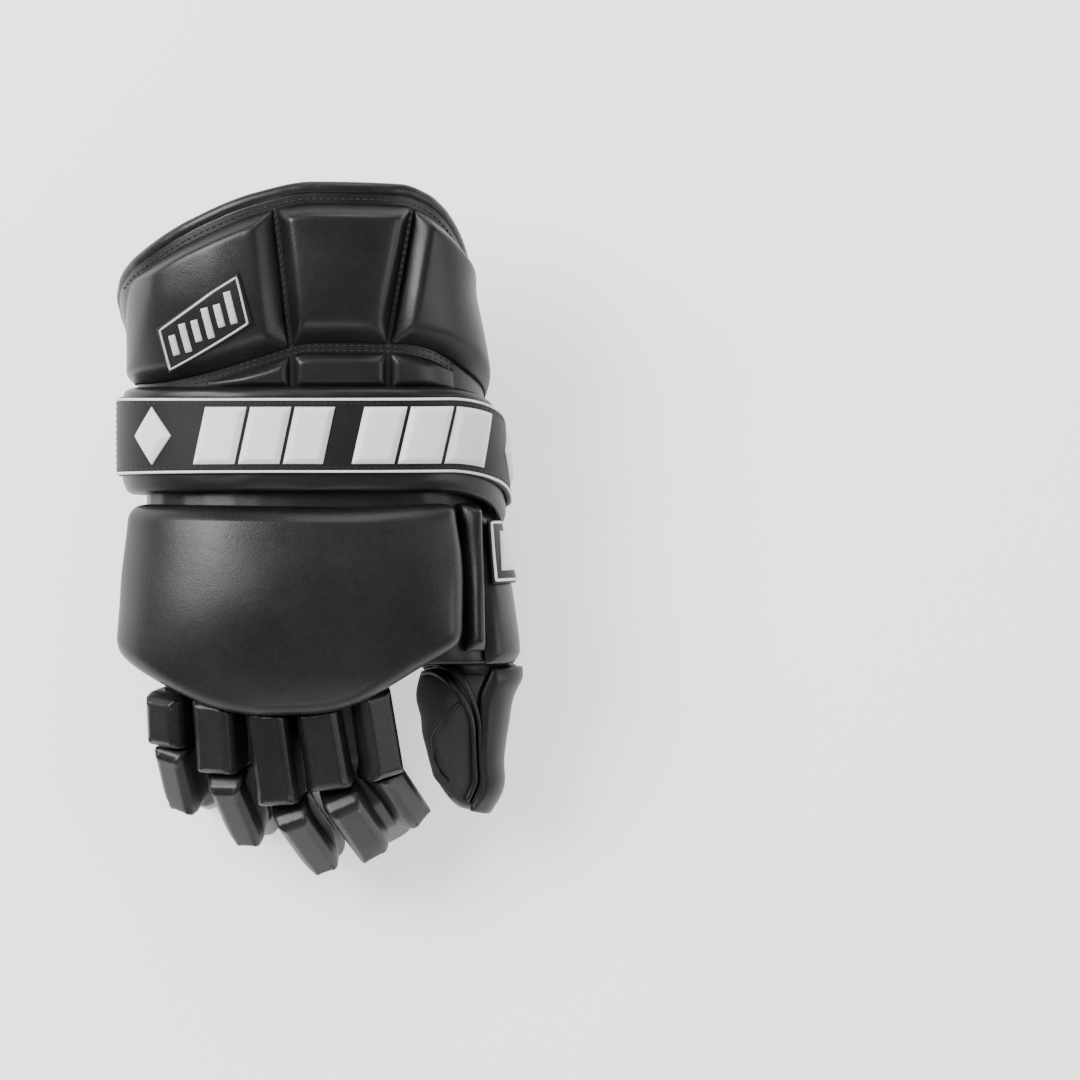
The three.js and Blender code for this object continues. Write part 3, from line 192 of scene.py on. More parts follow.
class Skin:
    """A surface swept by closed sections, addressed by millimetres across and along."""

    STEP = 1.0

    def __init__(self, section: Callable[[float], np.ndarray], start: float, end: float,
                 reach: float) -> None:
        """Table the surface and the directions square to it.

        Args:
            section: Gives the points of the section at a place along.
            start: Where the surface starts.
            end: Where it ends.
            reach: How far across it is tabled each way.
        """
        self.alongs = np.arange(start, end + self.STEP, self.STEP)
        self.acrosses = np.arange(-reach, reach + self.STEP, self.STEP)
        rows = []
        girths = []
        for along in self.alongs:
            points = section(along)
            loop = np.vstack((points, points[:1]))
            lengths = np.concatenate(([0], np.cumsum(np.linalg.norm(np.diff(loop, axis=0), axis=1))))
            walked = np.mod(self.acrosses, lengths[-1])
            rows.append(np.stack([np.interp(walked, lengths, loop[:, i]) for i in range(3)], axis=1))
            girths.append(lengths[-1])
        self.table = np.array(rows)
        self.girths = np.array(girths)
        sideways = np.gradient(self.table, axis=1)
        lengthways = np.gradient(self.table, axis=0)
        normals = np.cross(sideways, lengthways)
        normals /= np.linalg.norm(normals, axis=2, keepdims=True) + 1e-12
        middle = self.table.mean(axis=1, keepdims=True)
        if ((self.table - middle) * normals).sum() < 0:
            normals = -normals
        self.normals = normals

    def girth(self, along: np.ndarray) -> np.ndarray:
        """Return the length round the section at a place along."""
        return np.interp(along, self.alongs, self.girths)

    def _read(self, table: np.ndarray, across: np.ndarray, along: np.ndarray) -> np.ndarray:
        """Read a table between its places.

        Args:
            table: A value for each tabled place.
            across: Places across.
            along: Places along.

        Returns:
            The values at the places.
        """
        column = np.clip((across - self.acrosses[0]) / self.STEP, 0, len(self.acrosses) - 1.001)
        row = np.clip((along - self.alongs[0]) / self.STEP, 0, len(self.alongs) - 1.001)
        i = column.astype(int)
        j = row.astype(int)
        s = (column - i)[:, None]
        t = (row - j)[:, None]
        low = table[j, i] * (1 - s) + table[j, i + 1] * s
        high = table[j + 1, i] * (1 - s) + table[j + 1, i + 1] * s
        return low * (1 - t) + high * t

    def place(self, across: np.ndarray, along: np.ndarray, lift: np.ndarray) -> np.ndarray:
        """Return points in metres that stand lift millimetres off the surface.

        Args:
            across: Millimetres across, from the crest to the thumb side.
            along: Millimetres along.
            lift: Millimetres off the surface.

        Returns:
            The points, one row each.
        """
        across, along, lift = (np.ravel(a) for a in np.broadcast_arrays(across, along, lift))
        normal = self._read(self.normals, across, along)
        normal /= np.linalg.norm(normal, axis=1, keepdims=True)
        point = self._read(self.table, across, along) + normal * lift[:, None]
        return (point + ORIGIN) * MM


def hand_section(along: float, points: int = 720) -> np.ndarray:
    """Return the section of the hand form at a place along.

    Args:
        along: The place, in millimetres from the strap's middle to the cuff.
        points: How many points the section has.

    Returns:
        The points of the section, in millimetres.
    """
    at = along / HAND_LENGTH if along < 0 else along / CUFF_LENGTH
    pinky, thumb, crest, middle, palm = (float(between(FORM, i, at)) for i in range(1, 6))
    crest *= CREST_RISE
    turn = np.arange(points) * math.tau / points
    out = np.sin(turn)
    up = np.cos(turn)
    power = np.where(up > 0, 2 / ARCH, 2 / PALM_ARCH)
    reach = np.where(out > 0, THUMB_REACH * thumb, PINKY_REACH * pinky)
    rise = crest * (1 - middle) * np.abs(up) ** power
    fall = (crest * middle - CREST_RISE * palm) * np.minimum(1, PALM_FLATNESS * np.abs(up) ** power)
    x = np.sign(out) * reach * np.abs(out) ** power
    z = PALM_LEVEL + crest * middle + np.where(up > 0, rise, -fall)
    return np.stack((x, np.full(points, along), z), axis=1)


def find_origin() -> np.ndarray:
    """Return where the middle of the strap, under the crest line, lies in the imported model."""
    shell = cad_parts["hand_shell"].data.vertices
    crest = max(shell, key=lambda vertex: vertex.co.z).co
    low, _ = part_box("hand_shell")
    return np.array((crest.x / MM, low.y / MM + HAND_LENGTH, 0.0))


ORIGIN = find_origin()
HAND = Skin(hand_section, -1.3 * HAND_LENGTH, 1.14 * CUFF_LENGTH, 215)


def strap_drop(across: np.ndarray) -> np.ndarray:
    """Return how far the strap has slanted to the fingers at a place across."""
    turned = across / (float(HAND.girth(0)) / 2)
    return STRAP_DROP * (smooth(0.28, 0.62, turned) - smooth(0.72, 1, turned))


class StrapFace:
    """The strap's face as a surface of its own: along is measured from the strap's middle line."""

    def place(self, across: np.ndarray, along: np.ndarray, lift: np.ndarray) -> np.ndarray:
        """Return points in metres that stand lift millimetres off the hand form."""
        return HAND.place(across, along - strap_drop(across), lift)


STRAP = StrapFace()


class LabelFace:
    """The label's face, straight between its long edges. Lifts start from it."""

    def place(self, across: np.ndarray, along: np.ndarray, lift: np.ndarray) -> np.ndarray:
        """Return points in metres that stand lift millimetres off the label's face.

        Args:
            across: Millimetres across, round the wrist.
            along: Millimetres along, from the strap's middle line.
            lift: Millimetres off the label's face.

        Returns:
            The points, one row each.
        """
        across, along, lift = (np.ravel(a) for a in np.broadcast_arrays(across, along, lift))
        edge = LABEL_SHIFT - LABEL_WIDTH / 2
        share = ((along - edge) / LABEL_WIDTH)[:, None]
        low = STRAP.place(across, np.full(across.shape, edge), LABEL_FACE)
        high = STRAP.place(across, np.full(across.shape, edge + LABEL_WIDTH), LABEL_FACE)
        normal = STRAP.place(across, along, LABEL_FACE + 1) - STRAP.place(across, along, LABEL_FACE)
        return low * (1 - share) + high * share + normal * lift[:, None]


LABEL = LabelFace()


def cuff_line(column: int, across: np.ndarray) -> np.ndarray:
    """Return how far along the rim or the curved seam lies at a place across.

    Args:
        column: RIM or SEAM.
        across: Places across.

    Returns:
        Millimetres along.
    """
    across = np.asarray(across, float)
    reach = np.where(across < 0, CUFF_REACH_PINKY, CUFF_REACH_THUMB)
    return CUFF_LENGTH * between(CUFF, column, across / reach)


def rim_point(across: np.ndarray, out: np.ndarray) -> tuple[np.ndarray, np.ndarray]:
    """Return the place that lies out millimetres beyond the rim, square to it.

    Args:
        across: Places on the rim.
        out: Millimetres beyond it, or inside it where they are negative.

    Returns:
        The places, across and along.
    """
    rise = cuff_line(RIM, across + 2) - cuff_line(RIM, across - 2)
    length = np.hypot(rise, 4)
    return across - rise / length * out, cuff_line(RIM, across) + 4 / length * out


@dataclass
class Thumb:
    """The thumb's centre line and sections.

    Attributes:
        base: Where it leaves the hand form, across.
        width: Its width at the base.
        depth: Its depth at the base.
        length: Its length.
        drop: How far its top lies under the hand form at the base.
        lean: How far its sections are turned outwards.
        taper: What is left of its width at the first joint.
        headings: How far it turns inwards before, between and after its joints, in degrees.
        pitches: How far it dips there, in degrees.
        joints: Where its joints are, along.
        bend: Half the length of a bend.
        crease: Where the crease at its root is, along the hand.
        hang: Past the crease, the shift outwards and what is left of its width.
    """

    base: float = 1.27 * THUMB_REACH
    width: float = 38.0
    depth: float = 42.0
    length: float = 66.0
    drop: float = 4.0
    lean: float = math.radians(-38)
    taper: float = 0.86
    headings: tuple[float, ...] = (-3, -18, -26)
    pitches: tuple[float, ...] = (4, 10, 20)
    joints: tuple[float, ...] = (26.4, 49.5)
    bend: float = 8.0
    crease: float = -HAND_LENGTH - CLEARANCE
    hang: tuple[tuple[float, float, float], ...] = (
        (0, 0, 1.0), (16, -4.0, 0.93), (29, -2.4, 0.86), (42, 1.8, 0.80), (55, 7.0, 0.82), (66, 9.0, 0.82),
    )

    def __post_init__(self) -> None:
        """Walk the centre line and table the surface."""
        root = HAND.place(np.array([self.base]), np.array([-HAND_LENGTH]), np.array([0.0]))[0]
        start = root / MM - ORIGIN
        up = np.array((-math.sin(self.lean), 0, math.cos(self.lean)))
        start = start - up * (self.depth / 2 + self.drop)
        start[1] = self.crease
        path = [start]
        while len(path) <= self.length + 1:
            path.append(path[-1] + self.direction(len(path) - 0.5)[0])
        self.path = np.array(path)
        self.skin = Skin(self.section, 0, self.length, 160)

    def place(self, across: np.ndarray, along: np.ndarray, lift: np.ndarray) -> np.ndarray:
        """Return points in metres that stand lift millimetres off the thumb as it hangs."""
        return self.hung(self.skin.place(across, along, lift))

    def hung(self, points: np.ndarray) -> np.ndarray:
        """Slim the thumb and turn it outwards to its tip, as the worn thumb hangs.

        Args:
            points: Points of the straight thumb, in metres.

        Returns:
            The same points on the hanging thumb.
        """
        beyond = self.crease + ORIGIN[1] - points[:, 1] / MM
        line = (self.path[::-1] + ORIGIN) * MM
        middle = np.interp(points[:, 1], line[:, 1], line[:, 0])
        moved = points.copy()
        moved[:, 0] = middle + (points[:, 0] - middle) * between(self.hang, 2, beyond)
        moved[:, 0] += between(self.hang, 1, beyond) * MM
        return moved

    def direction(self, along: float) -> tuple[np.ndarray, float]:
        """Return the way that the centre line runs.

        Args:
            along: A place on the centre line.

        Returns:
            The unit direction, and its heading as an angle.
        """
        first = float(smooth(self.joints[0] - self.bend, self.joints[0] + self.bend, along))
        second = float(smooth(self.joints[1], self.joints[1] + 2 * self.bend, along))
        start = float(smooth(0, self.bend, along))
        heading, pitch = (
            math.radians((a + (b - a) * first) * (1 - second) + c * second) * start
            for a, b, c in (self.headings, self.pitches)
        )
        flat = math.cos(pitch)
        way = np.array((math.sin(heading) * flat, -math.cos(heading) * flat, -math.sin(pitch)))
        return way, heading

    def section(self, along: float) -> np.ndarray:
        """Return the section at a place along.

        Args:
            along: A place on the centre line.

        Returns:
            The points of the section, in millimetres.
        """
        way, heading = self.direction(along)
        level = np.array((math.cos(heading), math.sin(heading), 0))
        upright = np.cross(way, level)
        side = level * math.cos(self.lean) + upright * math.sin(self.lean)
        back = upright * math.cos(self.lean) - level * math.sin(self.lean)
        whole = min(max(int(along), 0), len(self.path) - 2)
        centre = self.path[whole] + (self.path[whole + 1] - self.path[whole]) * (along - whole)
        share = min(max(along / self.joints[0], 0), 2)
        narrowing = 1 + (self.taper - 1) * share
        turn = np.arange(360) * math.tau / 360
        out = np.sin(turn)
        up = np.cos(turn)
        power = 2 / PALM_ARCH
        x = np.sign(out) * self.width / 2 * narrowing * np.abs(out) ** power
        z = np.sign(up) * self.depth / 2 * narrowing * np.abs(up) ** power
        return centre + x[:, None] * side + z[:, None] * back


THUMB = Thumb()


class Slot(Enum):
    """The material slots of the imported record."""

    LEATHER = "black_leather"
    PALM = "palm_leather"
    LABEL = "label_rubber"
    WHITE = "white_rubber"
    LINING = "lining"


@dataclass(frozen=True)
class Finish:
    """The finish of a surface.

    Attributes:
        name: The material's name.
        slot: The record's slot that it belongs to; not used.
        color: Its colour where it is clean.
        tone: Its colour where it is worn or catches dust.
        roughness: Its roughness where it is clean.
        dulling: How much rougher it is where it is worn.
        cell: Size of its grain in millimetres.
        grain: Depth of the grain in millimetres.
        crease: Depth of its soft wrinkles in millimetres.
        weave: Depth of a weave in millimetres.
        sheen: Sheen of its nap.
        shine: Strength of its highlights.
    """

    name: str
    slot: Slot
    color: tuple[float, float, float]
    tone: tuple[float, float, float]
    roughness: float
    dulling: float = 0.08
    cell: float = 0.8
    grain: float = 0.03
    crease: float = 0.0
    weave: float = 0.0
    sheen: float = 0.0
    shine: float = 0.34


class Finishes(Enum):
    """Every finish on the glove."""

    LEATHER = Finish("grained_leather", Slot.LEATHER, (0.0045, 0.0045, 0.005), (0.010, 0.010, 0.011), 0.34,
                     crease=0.10)
    BINDING = Finish("binding_leather", Slot.LEATHER, (0.004, 0.004, 0.0045), (0.010, 0.010, 0.011), 0.32,
                     cell=0.6, crease=0.12)
    PALM = Finish("palm_suede", Slot.PALM, (0.022, 0.021, 0.021), (0.040, 0.039, 0.038), 0.72,
                  cell=0.5, grain=0.04, crease=0.25, sheen=0.15)
    LABEL = Finish("label_rubber", Slot.LABEL, (0.005, 0.005, 0.0055), (0.010, 0.010, 0.011), 0.5,
                   cell=0.35, grain=0.015, shine=0.24)
    WHITE = Finish("white_rubber", Slot.WHITE, (0.80, 0.80, 0.77), (0.70, 0.69, 0.66), 0.42,
                   dulling=0.12, cell=0.6, grain=0.02)
    SILVER = Finish("silver_thread_bars", Slot.WHITE, (0.55, 0.55, 0.56), (0.40, 0.40, 0.41), 0.45,
                    cell=0.4, grain=0.05, weave=0.06)
    LINING = Finish("brushed_lining", Slot.LINING, (0.013, 0.013, 0.013), (0.030, 0.029, 0.028), 0.85,
                    cell=0.7, grain=0.05, weave=0.07, sheen=0.12)
    THREAD = Finish("thread", Slot.LEATHER, (0.012, 0.012, 0.012), (0.030, 0.030, 0.030), 0.5,
                    cell=0.25, grain=0.02)


class NodeGroups:
    """Shader node groups that more than one material uses."""

    def __init__(self) -> None:
        """Build the groups once."""
        self.grain = self._grain()
        self.wear = self._wear()
        self.weave = self._weave()

    @staticmethod
    def _start(name: str, inputs: Sequence[str], outputs: Sequence[str]) -> tuple:
        """Make an empty group whose inputs after the vector are numbers.

        Args:
            name: The group's name.
            inputs: Names of its numbers.
            outputs: Names of its outputs.

        Returns:
            The group, its input node and its output node.
        """
        group = bpy.data.node_groups.new(name, "ShaderNodeTree")
        group.interface.new_socket("Vector", in_out="INPUT", socket_type="NodeSocketVector")
        for label in inputs:
            group.interface.new_socket(label, in_out="INPUT", socket_type="NodeSocketFloat")
        for label in outputs:
            group.interface.new_socket(label, in_out="OUTPUT", socket_type="NodeSocketFloat")
        return group, group.nodes.new("NodeGroupInput"), group.nodes.new("NodeGroupOutput")

    @staticmethod
    def math(tree: bpy.types.NodeTree, operation: str, first: object, second: object) -> object:
        """Add a Math node.

        Args:
            tree: The node tree.
            operation: What the node does.
            first: Its first value, a number or an output.
            second: Its second value, a number or an output.

        Returns:
            The node's output.
        """
        node = tree.nodes.new("ShaderNodeMath")
        node.operation = operation
        for socket, value in zip(node.inputs, (first, second)):
            if isinstance(value, (int, float)):
                socket.default_value = value
            else:
                tree.links.new(value, socket)
        return node.outputs[0]

    def _grain(self) -> bpy.types.NodeTree:
        """Pebbled leather grain with soft wrinkles under it; heights in metres."""
        group, inputs, outputs = self._start("grain", ("Cell", "Grain", "Crease"), ("Height",))
        links = group.links
        scale = self.math(group, "DIVIDE", 1.0, inputs.outputs["Cell"])
        warp = group.nodes.new("ShaderNodeTexNoise")
        warp.inputs["Detail"].default_value = 2
        links.new(inputs.outputs["Vector"], warp.inputs["Vector"])
        links.new(scale, warp.inputs["Scale"])
        cells = group.nodes.new("ShaderNodeTexVoronoi")
        cells.feature = "SMOOTH_F1"
        cells.inputs["Smoothness"].default_value = 0.35
        links.new(inputs.outputs["Vector"], cells.inputs["Vector"])
        links.new(scale, cells.inputs["Scale"])
        pebble = self.math(group, "SUBTRACT", 1.0, cells.outputs["Distance"])
        pebble = self.math(group, "ADD", pebble, self.math(group, "MULTIPLY", warp.outputs["Fac"], 0.6))
        height = self.math(group, "MULTIPLY", pebble, inputs.outputs["Grain"])
        folds = group.nodes.new("ShaderNodeTexNoise")
        folds.inputs["Detail"].default_value = 3
        folds.inputs["Distortion"].default_value = 0.8
        folds.inputs["Scale"].default_value = 85
        links.new(inputs.outputs["Vector"], folds.inputs["Vector"])
        soft = self.math(group, "MULTIPLY", folds.outputs["Fac"], inputs.outputs["Crease"])
        links.new(self.math(group, "ADD", height, soft), outputs.inputs["Height"])
        return group

    def _wear(self) -> bpy.types.NodeTree:
        """Patches of dulling and dust from 0 to 1."""
        group, inputs, outputs = self._start("wear", ("Spread",), ("Mask",))
        links = group.links
        broad = group.nodes.new("ShaderNodeTexNoise")
        broad.inputs["Scale"].default_value = 28
        broad.inputs["Detail"].default_value = 4
        fine = group.nodes.new("ShaderNodeTexNoise")
        fine.inputs["Scale"].default_value = 420
        fine.inputs["Detail"].default_value = 2
        for node in (broad, fine):
            links.new(inputs.outputs["Vector"], node.inputs["Vector"])
        mixed = self.math(group, "ADD", broad.outputs["Fac"],
                          self.math(group, "MULTIPLY", fine.outputs["Fac"], 0.35))
        ramp = group.nodes.new("ShaderNodeMapRange")
        ramp.inputs["From Min"].default_value = 0.5
        ramp.inputs["From Max"].default_value = 0.9
        links.new(mixed, ramp.inputs["Value"])
        links.new(self.math(group, "MULTIPLY", ramp.outputs["Result"], inputs.outputs["Spread"]),
                  outputs.inputs["Mask"])
        return group

    def _weave(self) -> bpy.types.NodeTree:
        """Crossed threads; height from 0 to 1."""
        group, inputs, outputs = self._start("weave", ("Pitch",), ("Height",))
        links = group.links
        heights = []
        for turn in ("X", "Y"):
            wave = group.nodes.new("ShaderNodeTexWave")
            wave.bands_direction = turn
            wave.inputs["Distortion"].default_value = 0.6
            links.new(inputs.outputs["Vector"], wave.inputs["Vector"])
            links.new(self.math(group, "DIVIDE", 0.31, inputs.outputs["Pitch"]), wave.inputs["Scale"])
            heights.append(wave.outputs["Fac"])
        links.new(self.math(group, "MAXIMUM", heights[0], heights[1]), outputs.inputs["Height"])
        return group


class Workshop:
    """Makes the materials once and dresses pieces with them."""

    def __init__(self) -> None:
        """Build the node groups."""
        self.groups = NodeGroups()
        self.materials: dict[str, bpy.types.Material] = {}

    def material(self, finish: Finish) -> bpy.types.Material:
        """Return the material of a finish, made at its first use.

        Args:
            finish: The finish.

        Returns:
            The material.
        """
        if finish.name in self.materials:
            return self.materials[finish.name]
        material = bpy.data.materials.new(finish.name)
        material.use_nodes = True
        tree = material.node_tree
        shader = tree.nodes["Principled BSDF"]
        place = tree.nodes.new("ShaderNodeTexCoord").outputs["Object"]
        grain = self._group(tree, self.groups.grain, place,
                            Cell=finish.cell * MM, Grain=finish.grain * MM, Crease=finish.crease * MM)
        wear = self._group(tree, self.groups.wear, place, Spread=1.0)
        color = tree.nodes.new("ShaderNodeMix")
        color.data_type = "RGBA"
        color.inputs[6].default_value = (*finish.color, 1)
        color.inputs[7].default_value = (*finish.tone, 1)
        tree.links.new(wear.outputs["Mask"], color.inputs["Factor"])
        tree.links.new(color.outputs[2], shader.inputs["Base Color"])
        dull = NodeGroups.math(tree, "MULTIPLY", wear.outputs["Mask"], finish.dulling)
        tree.links.new(NodeGroups.math(tree, "ADD", dull, finish.roughness), shader.inputs["Roughness"])
        height = grain.outputs["Height"]
        if finish.weave:
            weave = self._group(tree, self.groups.weave, place, Pitch=0.9 * MM)
            threads = NodeGroups.math(tree, "MULTIPLY", weave.outputs["Height"], finish.weave * MM)
            height = NodeGroups.math(tree, "ADD", height, threads)
        bump = tree.nodes.new("ShaderNodeBump")
        bump.inputs["Distance"].default_value = 1.0
        bump.inputs["Strength"].default_value = 1.0
        tree.links.new(height, bump.inputs["Height"])
        tree.links.new(bump.outputs["Normal"], shader.inputs["Normal"])
        shader.inputs["Sheen Weight"].default_value = finish.sheen
        shader.inputs["Specular IOR Level"].default_value = finish.shine
        self.materials[finish.name] = material
        return material

    @staticmethod
    def _group(tree: bpy.types.NodeTree, group: bpy.types.NodeTree, place: object, **values: float) -> object:
        """Put a node group in a material with its values.

        Args:
            tree: The material's node tree.
            group: The node group.
            place: The output that gives the coordinates.
            values: The group's numbers.

        Returns:
            The group's node.
        """
        node = tree.nodes.new("ShaderNodeGroup")
        node.node_tree = group
        tree.links.new(place, node.inputs["Vector"])
        for label, value in values.items():
            node.inputs[label].default_value = value
        return node

    def dress(self, piece: bpy.types.Object, finish: Finishes, replaces: Sequence[str] = ()) -> None:
        """Give a piece its finish and its body, and hide the nodes that it stands for.

        Args:
            piece: The piece.
            finish: Its finish.
            replaces: The nodes that it stands for.
        """
        piece.data.materials.clear()
        piece.data.materials.append(self.material(finish.value))
        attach(piece, BODY)
        if replaces:
            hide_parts(*replaces)
        log.info("%s: %d faces, %s", piece.name, len(piece.data.polygons), finish.value.name)


def activate(piece: bpy.types.Object) -> None:
    """Select one piece alone and make it active."""
    bpy.ops.object.select_all(action="DESELECT")
    piece.select_set(True)
    bpy.context.view_layer.objects.active = piece


def finish_modifier(piece: bpy.types.Object, kind: str, **settings: object) -> None:
    """Add a modifier with its settings and apply it.

    Args:
        piece: The piece.
        kind: The kind of modifier.
        settings: The modifier's settings.
    """
    activate(piece)
    modifier = piece.modifiers.new(kind.lower(), kind)
    for label, value in settings.items():
        setattr(modifier, label, value)
    bpy.ops.object.modifier_apply(modifier=modifier.name)


def tidy_mesh(piece: bpy.types.Object, merge: float = 0.01) -> None:
    """Merge doubles, turn the faces outwards and shade them smooth.

    Args:
        piece: The piece.
        merge: How near doubles are, in millimetres.
    """
    activate(piece)
    bpy.ops.object.mode_set(mode="EDIT")
    bpy.ops.mesh.select_all(action="SELECT")
    bpy.ops.mesh.remove_doubles(threshold=merge * MM)
    bpy.ops.mesh.normals_make_consistent(inside=False)
    bpy.ops.object.mode_set(mode="OBJECT")
    bpy.ops.object.shade_smooth()


def coordinates(piece: bpy.types.Object) -> np.ndarray:
    """Return the piece's vertices as an array.

    Args:
        piece: The piece.

    Returns:
        The vertices in metres, one row each.
    """
    points = np.empty(len(piece.data.vertices) * 3)
    piece.data.vertices.foreach_get("co", points)
    return points.reshape(-1, 3)


def move_to(piece: bpy.types.Object, points: np.ndarray) -> None:
    """Move the piece's vertices to new points."""
    piece.data.vertices.foreach_set("co", np.ascontiguousarray(points, float).ravel())
    piece.data.update()


def flat_slab(name: str, columns: int, rows: int, ring: bool = False) -> tuple[bpy.types.Object, np.ndarray]:
    """Make a closed slab on a grid, flat and one unit each way, ready to be shaped and laid.

    Args:
        name: The piece's name.
        columns: Faces along u.
        rows: Faces along v.
        ring: Whether its ends at u = 0 and u = 1 will meet, so that they have no walls.

    Returns:
        The piece, and the u, v and w of its vertices, w being 0 on the seat and 1 on the face.
    """
    bpy.ops.object.select_all(action="DESELECT")
    bpy.ops.mesh.primitive_grid_add(x_subdivisions=columns, y_subdivisions=rows, size=1)
    piece = bpy.context.object
    piece.name = name
    piece.data.name = name
    finish_modifier(piece, "SOLIDIFY", thickness=1, offset=1)
    points = coordinates(piece)
    uvw = np.stack((points[:, 0] + 0.5, points[:, 1] + 0.5, (points[:, 2] > 0.5).astype(float)), axis=1)
    if ring:
        at_end = np.abs(uvw[:, 0] - 0.5) > 0.5 - 1e-4
        bpy.ops.object.mode_set(mode="EDIT")
        bpy.ops.mesh.select_mode(type="FACE")
        bpy.ops.mesh.select_all(action="DESELECT")
        bpy.ops.object.mode_set(mode="OBJECT")
        for polygon in piece.data.polygons:
            polygon.select = bool(at_end[list(polygon.vertices)].all())
        bpy.ops.object.mode_set(mode="EDIT")
        bpy.ops.mesh.delete(type="ONLY_FACE")
        bpy.ops.object.mode_set(mode="OBJECT")
    return piece, uvw


def tree_of(points: np.ndarray) -> KDTree:
    """Return a search tree of points.

    Args:
        points: The points, one row each.

    Returns:
        The tree, which gives back each point's row.
    """
    tree = KDTree(len(points))
    for index, point in enumerate(points):
        tree.insert(point, index)
    tree.balance()
    return tree


def swell(piece: bpy.types.Object, seat: np.ndarray, cap: float, voxel: float, pressure: float = 4.0) -> None:
    """Fill a pad like a cushion: a coarse copy swells as cloth, and the piece moves as the copy moved.

    Args:
        piece: The pad.
        seat: Points of its seat in metres, which stays where it is.
        cap: The furthest that a point may move, in millimetres.
        voxel: Size of the copy's faces in millimetres.
        pressure: Pressure inside the cloth.
    """
    copy = bpy.data.objects.new("cloth_copy", piece.data.copy())
    bpy.context.collection.objects.link(copy)
    finish_modifier(copy, "REMESH", mode="VOXEL", voxel_size=voxel * MM)
    before = coordinates(copy)
    seated = tree_of(seat)
    near_seat = SEAT_REACH * voxel * MM
    pinned = [i for i, point in enumerate(before) if seated.find(point)[2] < near_seat]
    copy.vertex_groups.new(name="seat").add(pinned, 1.0, "REPLACE")
    activate(copy)
    cloth = copy.modifiers.new("cloth", "CLOTH")
    cloth.settings.use_pressure = True
    cloth.settings.uniform_pressure_force = pressure
    cloth.settings.effector_weights.gravity = 0
    cloth.settings.vertex_group_mass = "seat"
    for number in range(1, CLOTH_FRAMES + 1):
        bpy.context.scene.frame_set(number)
    bpy.ops.object.modifier_apply(modifier=cloth.name)
    bpy.context.scene.frame_set(1)
    moves = coordinates(copy) - before
    lengths = np.linalg.norm(moves, axis=1, keepdims=True) / MM
    moves *= np.where(lengths > 1e-6, cap * np.tanh(lengths / cap) / np.maximum(lengths, 1e-6), 1)
    bpy.data.objects.remove(copy)
    near = tree_of(before)
    points = coordinates(piece)
    for i, point in enumerate(points):
        found = near.find_n(point, CLOTH_NEIGHBOURS)
        weights = np.array([math.exp(-(distance / (voxel * MM)) ** 2) for _, _, distance in found]) + 1e-9
        points[i] += weights @ moves[[index for _, index, _ in found]] / weights.sum()
    move_to(piece, points)
    log.info("%s: swollen by up to %.1f mm", piece.name, float(lengths.max()))


def distance_to(line: np.ndarray, across: np.ndarray, along: np.ndarray) -> np.ndarray:
    """Return the distance from each place to a line of points.

    Args:
        line: The line's points.
        across: Places across.
        along: Places along.

    Returns:
        The distances.
    """
    best = np.full(across.shape, np.inf)
    for start, end in zip(line[:-1], line[1:]):
        run = end - start
        length = max(float(run @ run), 1e-9)
        share = np.clip(((across - start[0]) * run[0] + (along - start[1]) * run[1]) / length, 0, 1)
        nearest = start + share[..., None] * run
        best = np.minimum(best, np.hypot(across - nearest[..., 0], along - nearest[..., 1]))
    return best


def soft_min(values: Sequence[np.ndarray], softness: float) -> np.ndarray:
    """Return the least of several values, with the corners between them rounded off.

    Args:
        values: The values, each an array.
        softness: How far the corners are rounded off.

    Returns:
        The rounded least value.
    """
    stack = np.array(values)
    return -softness * np.log(np.exp(-stack / softness).sum(axis=0))


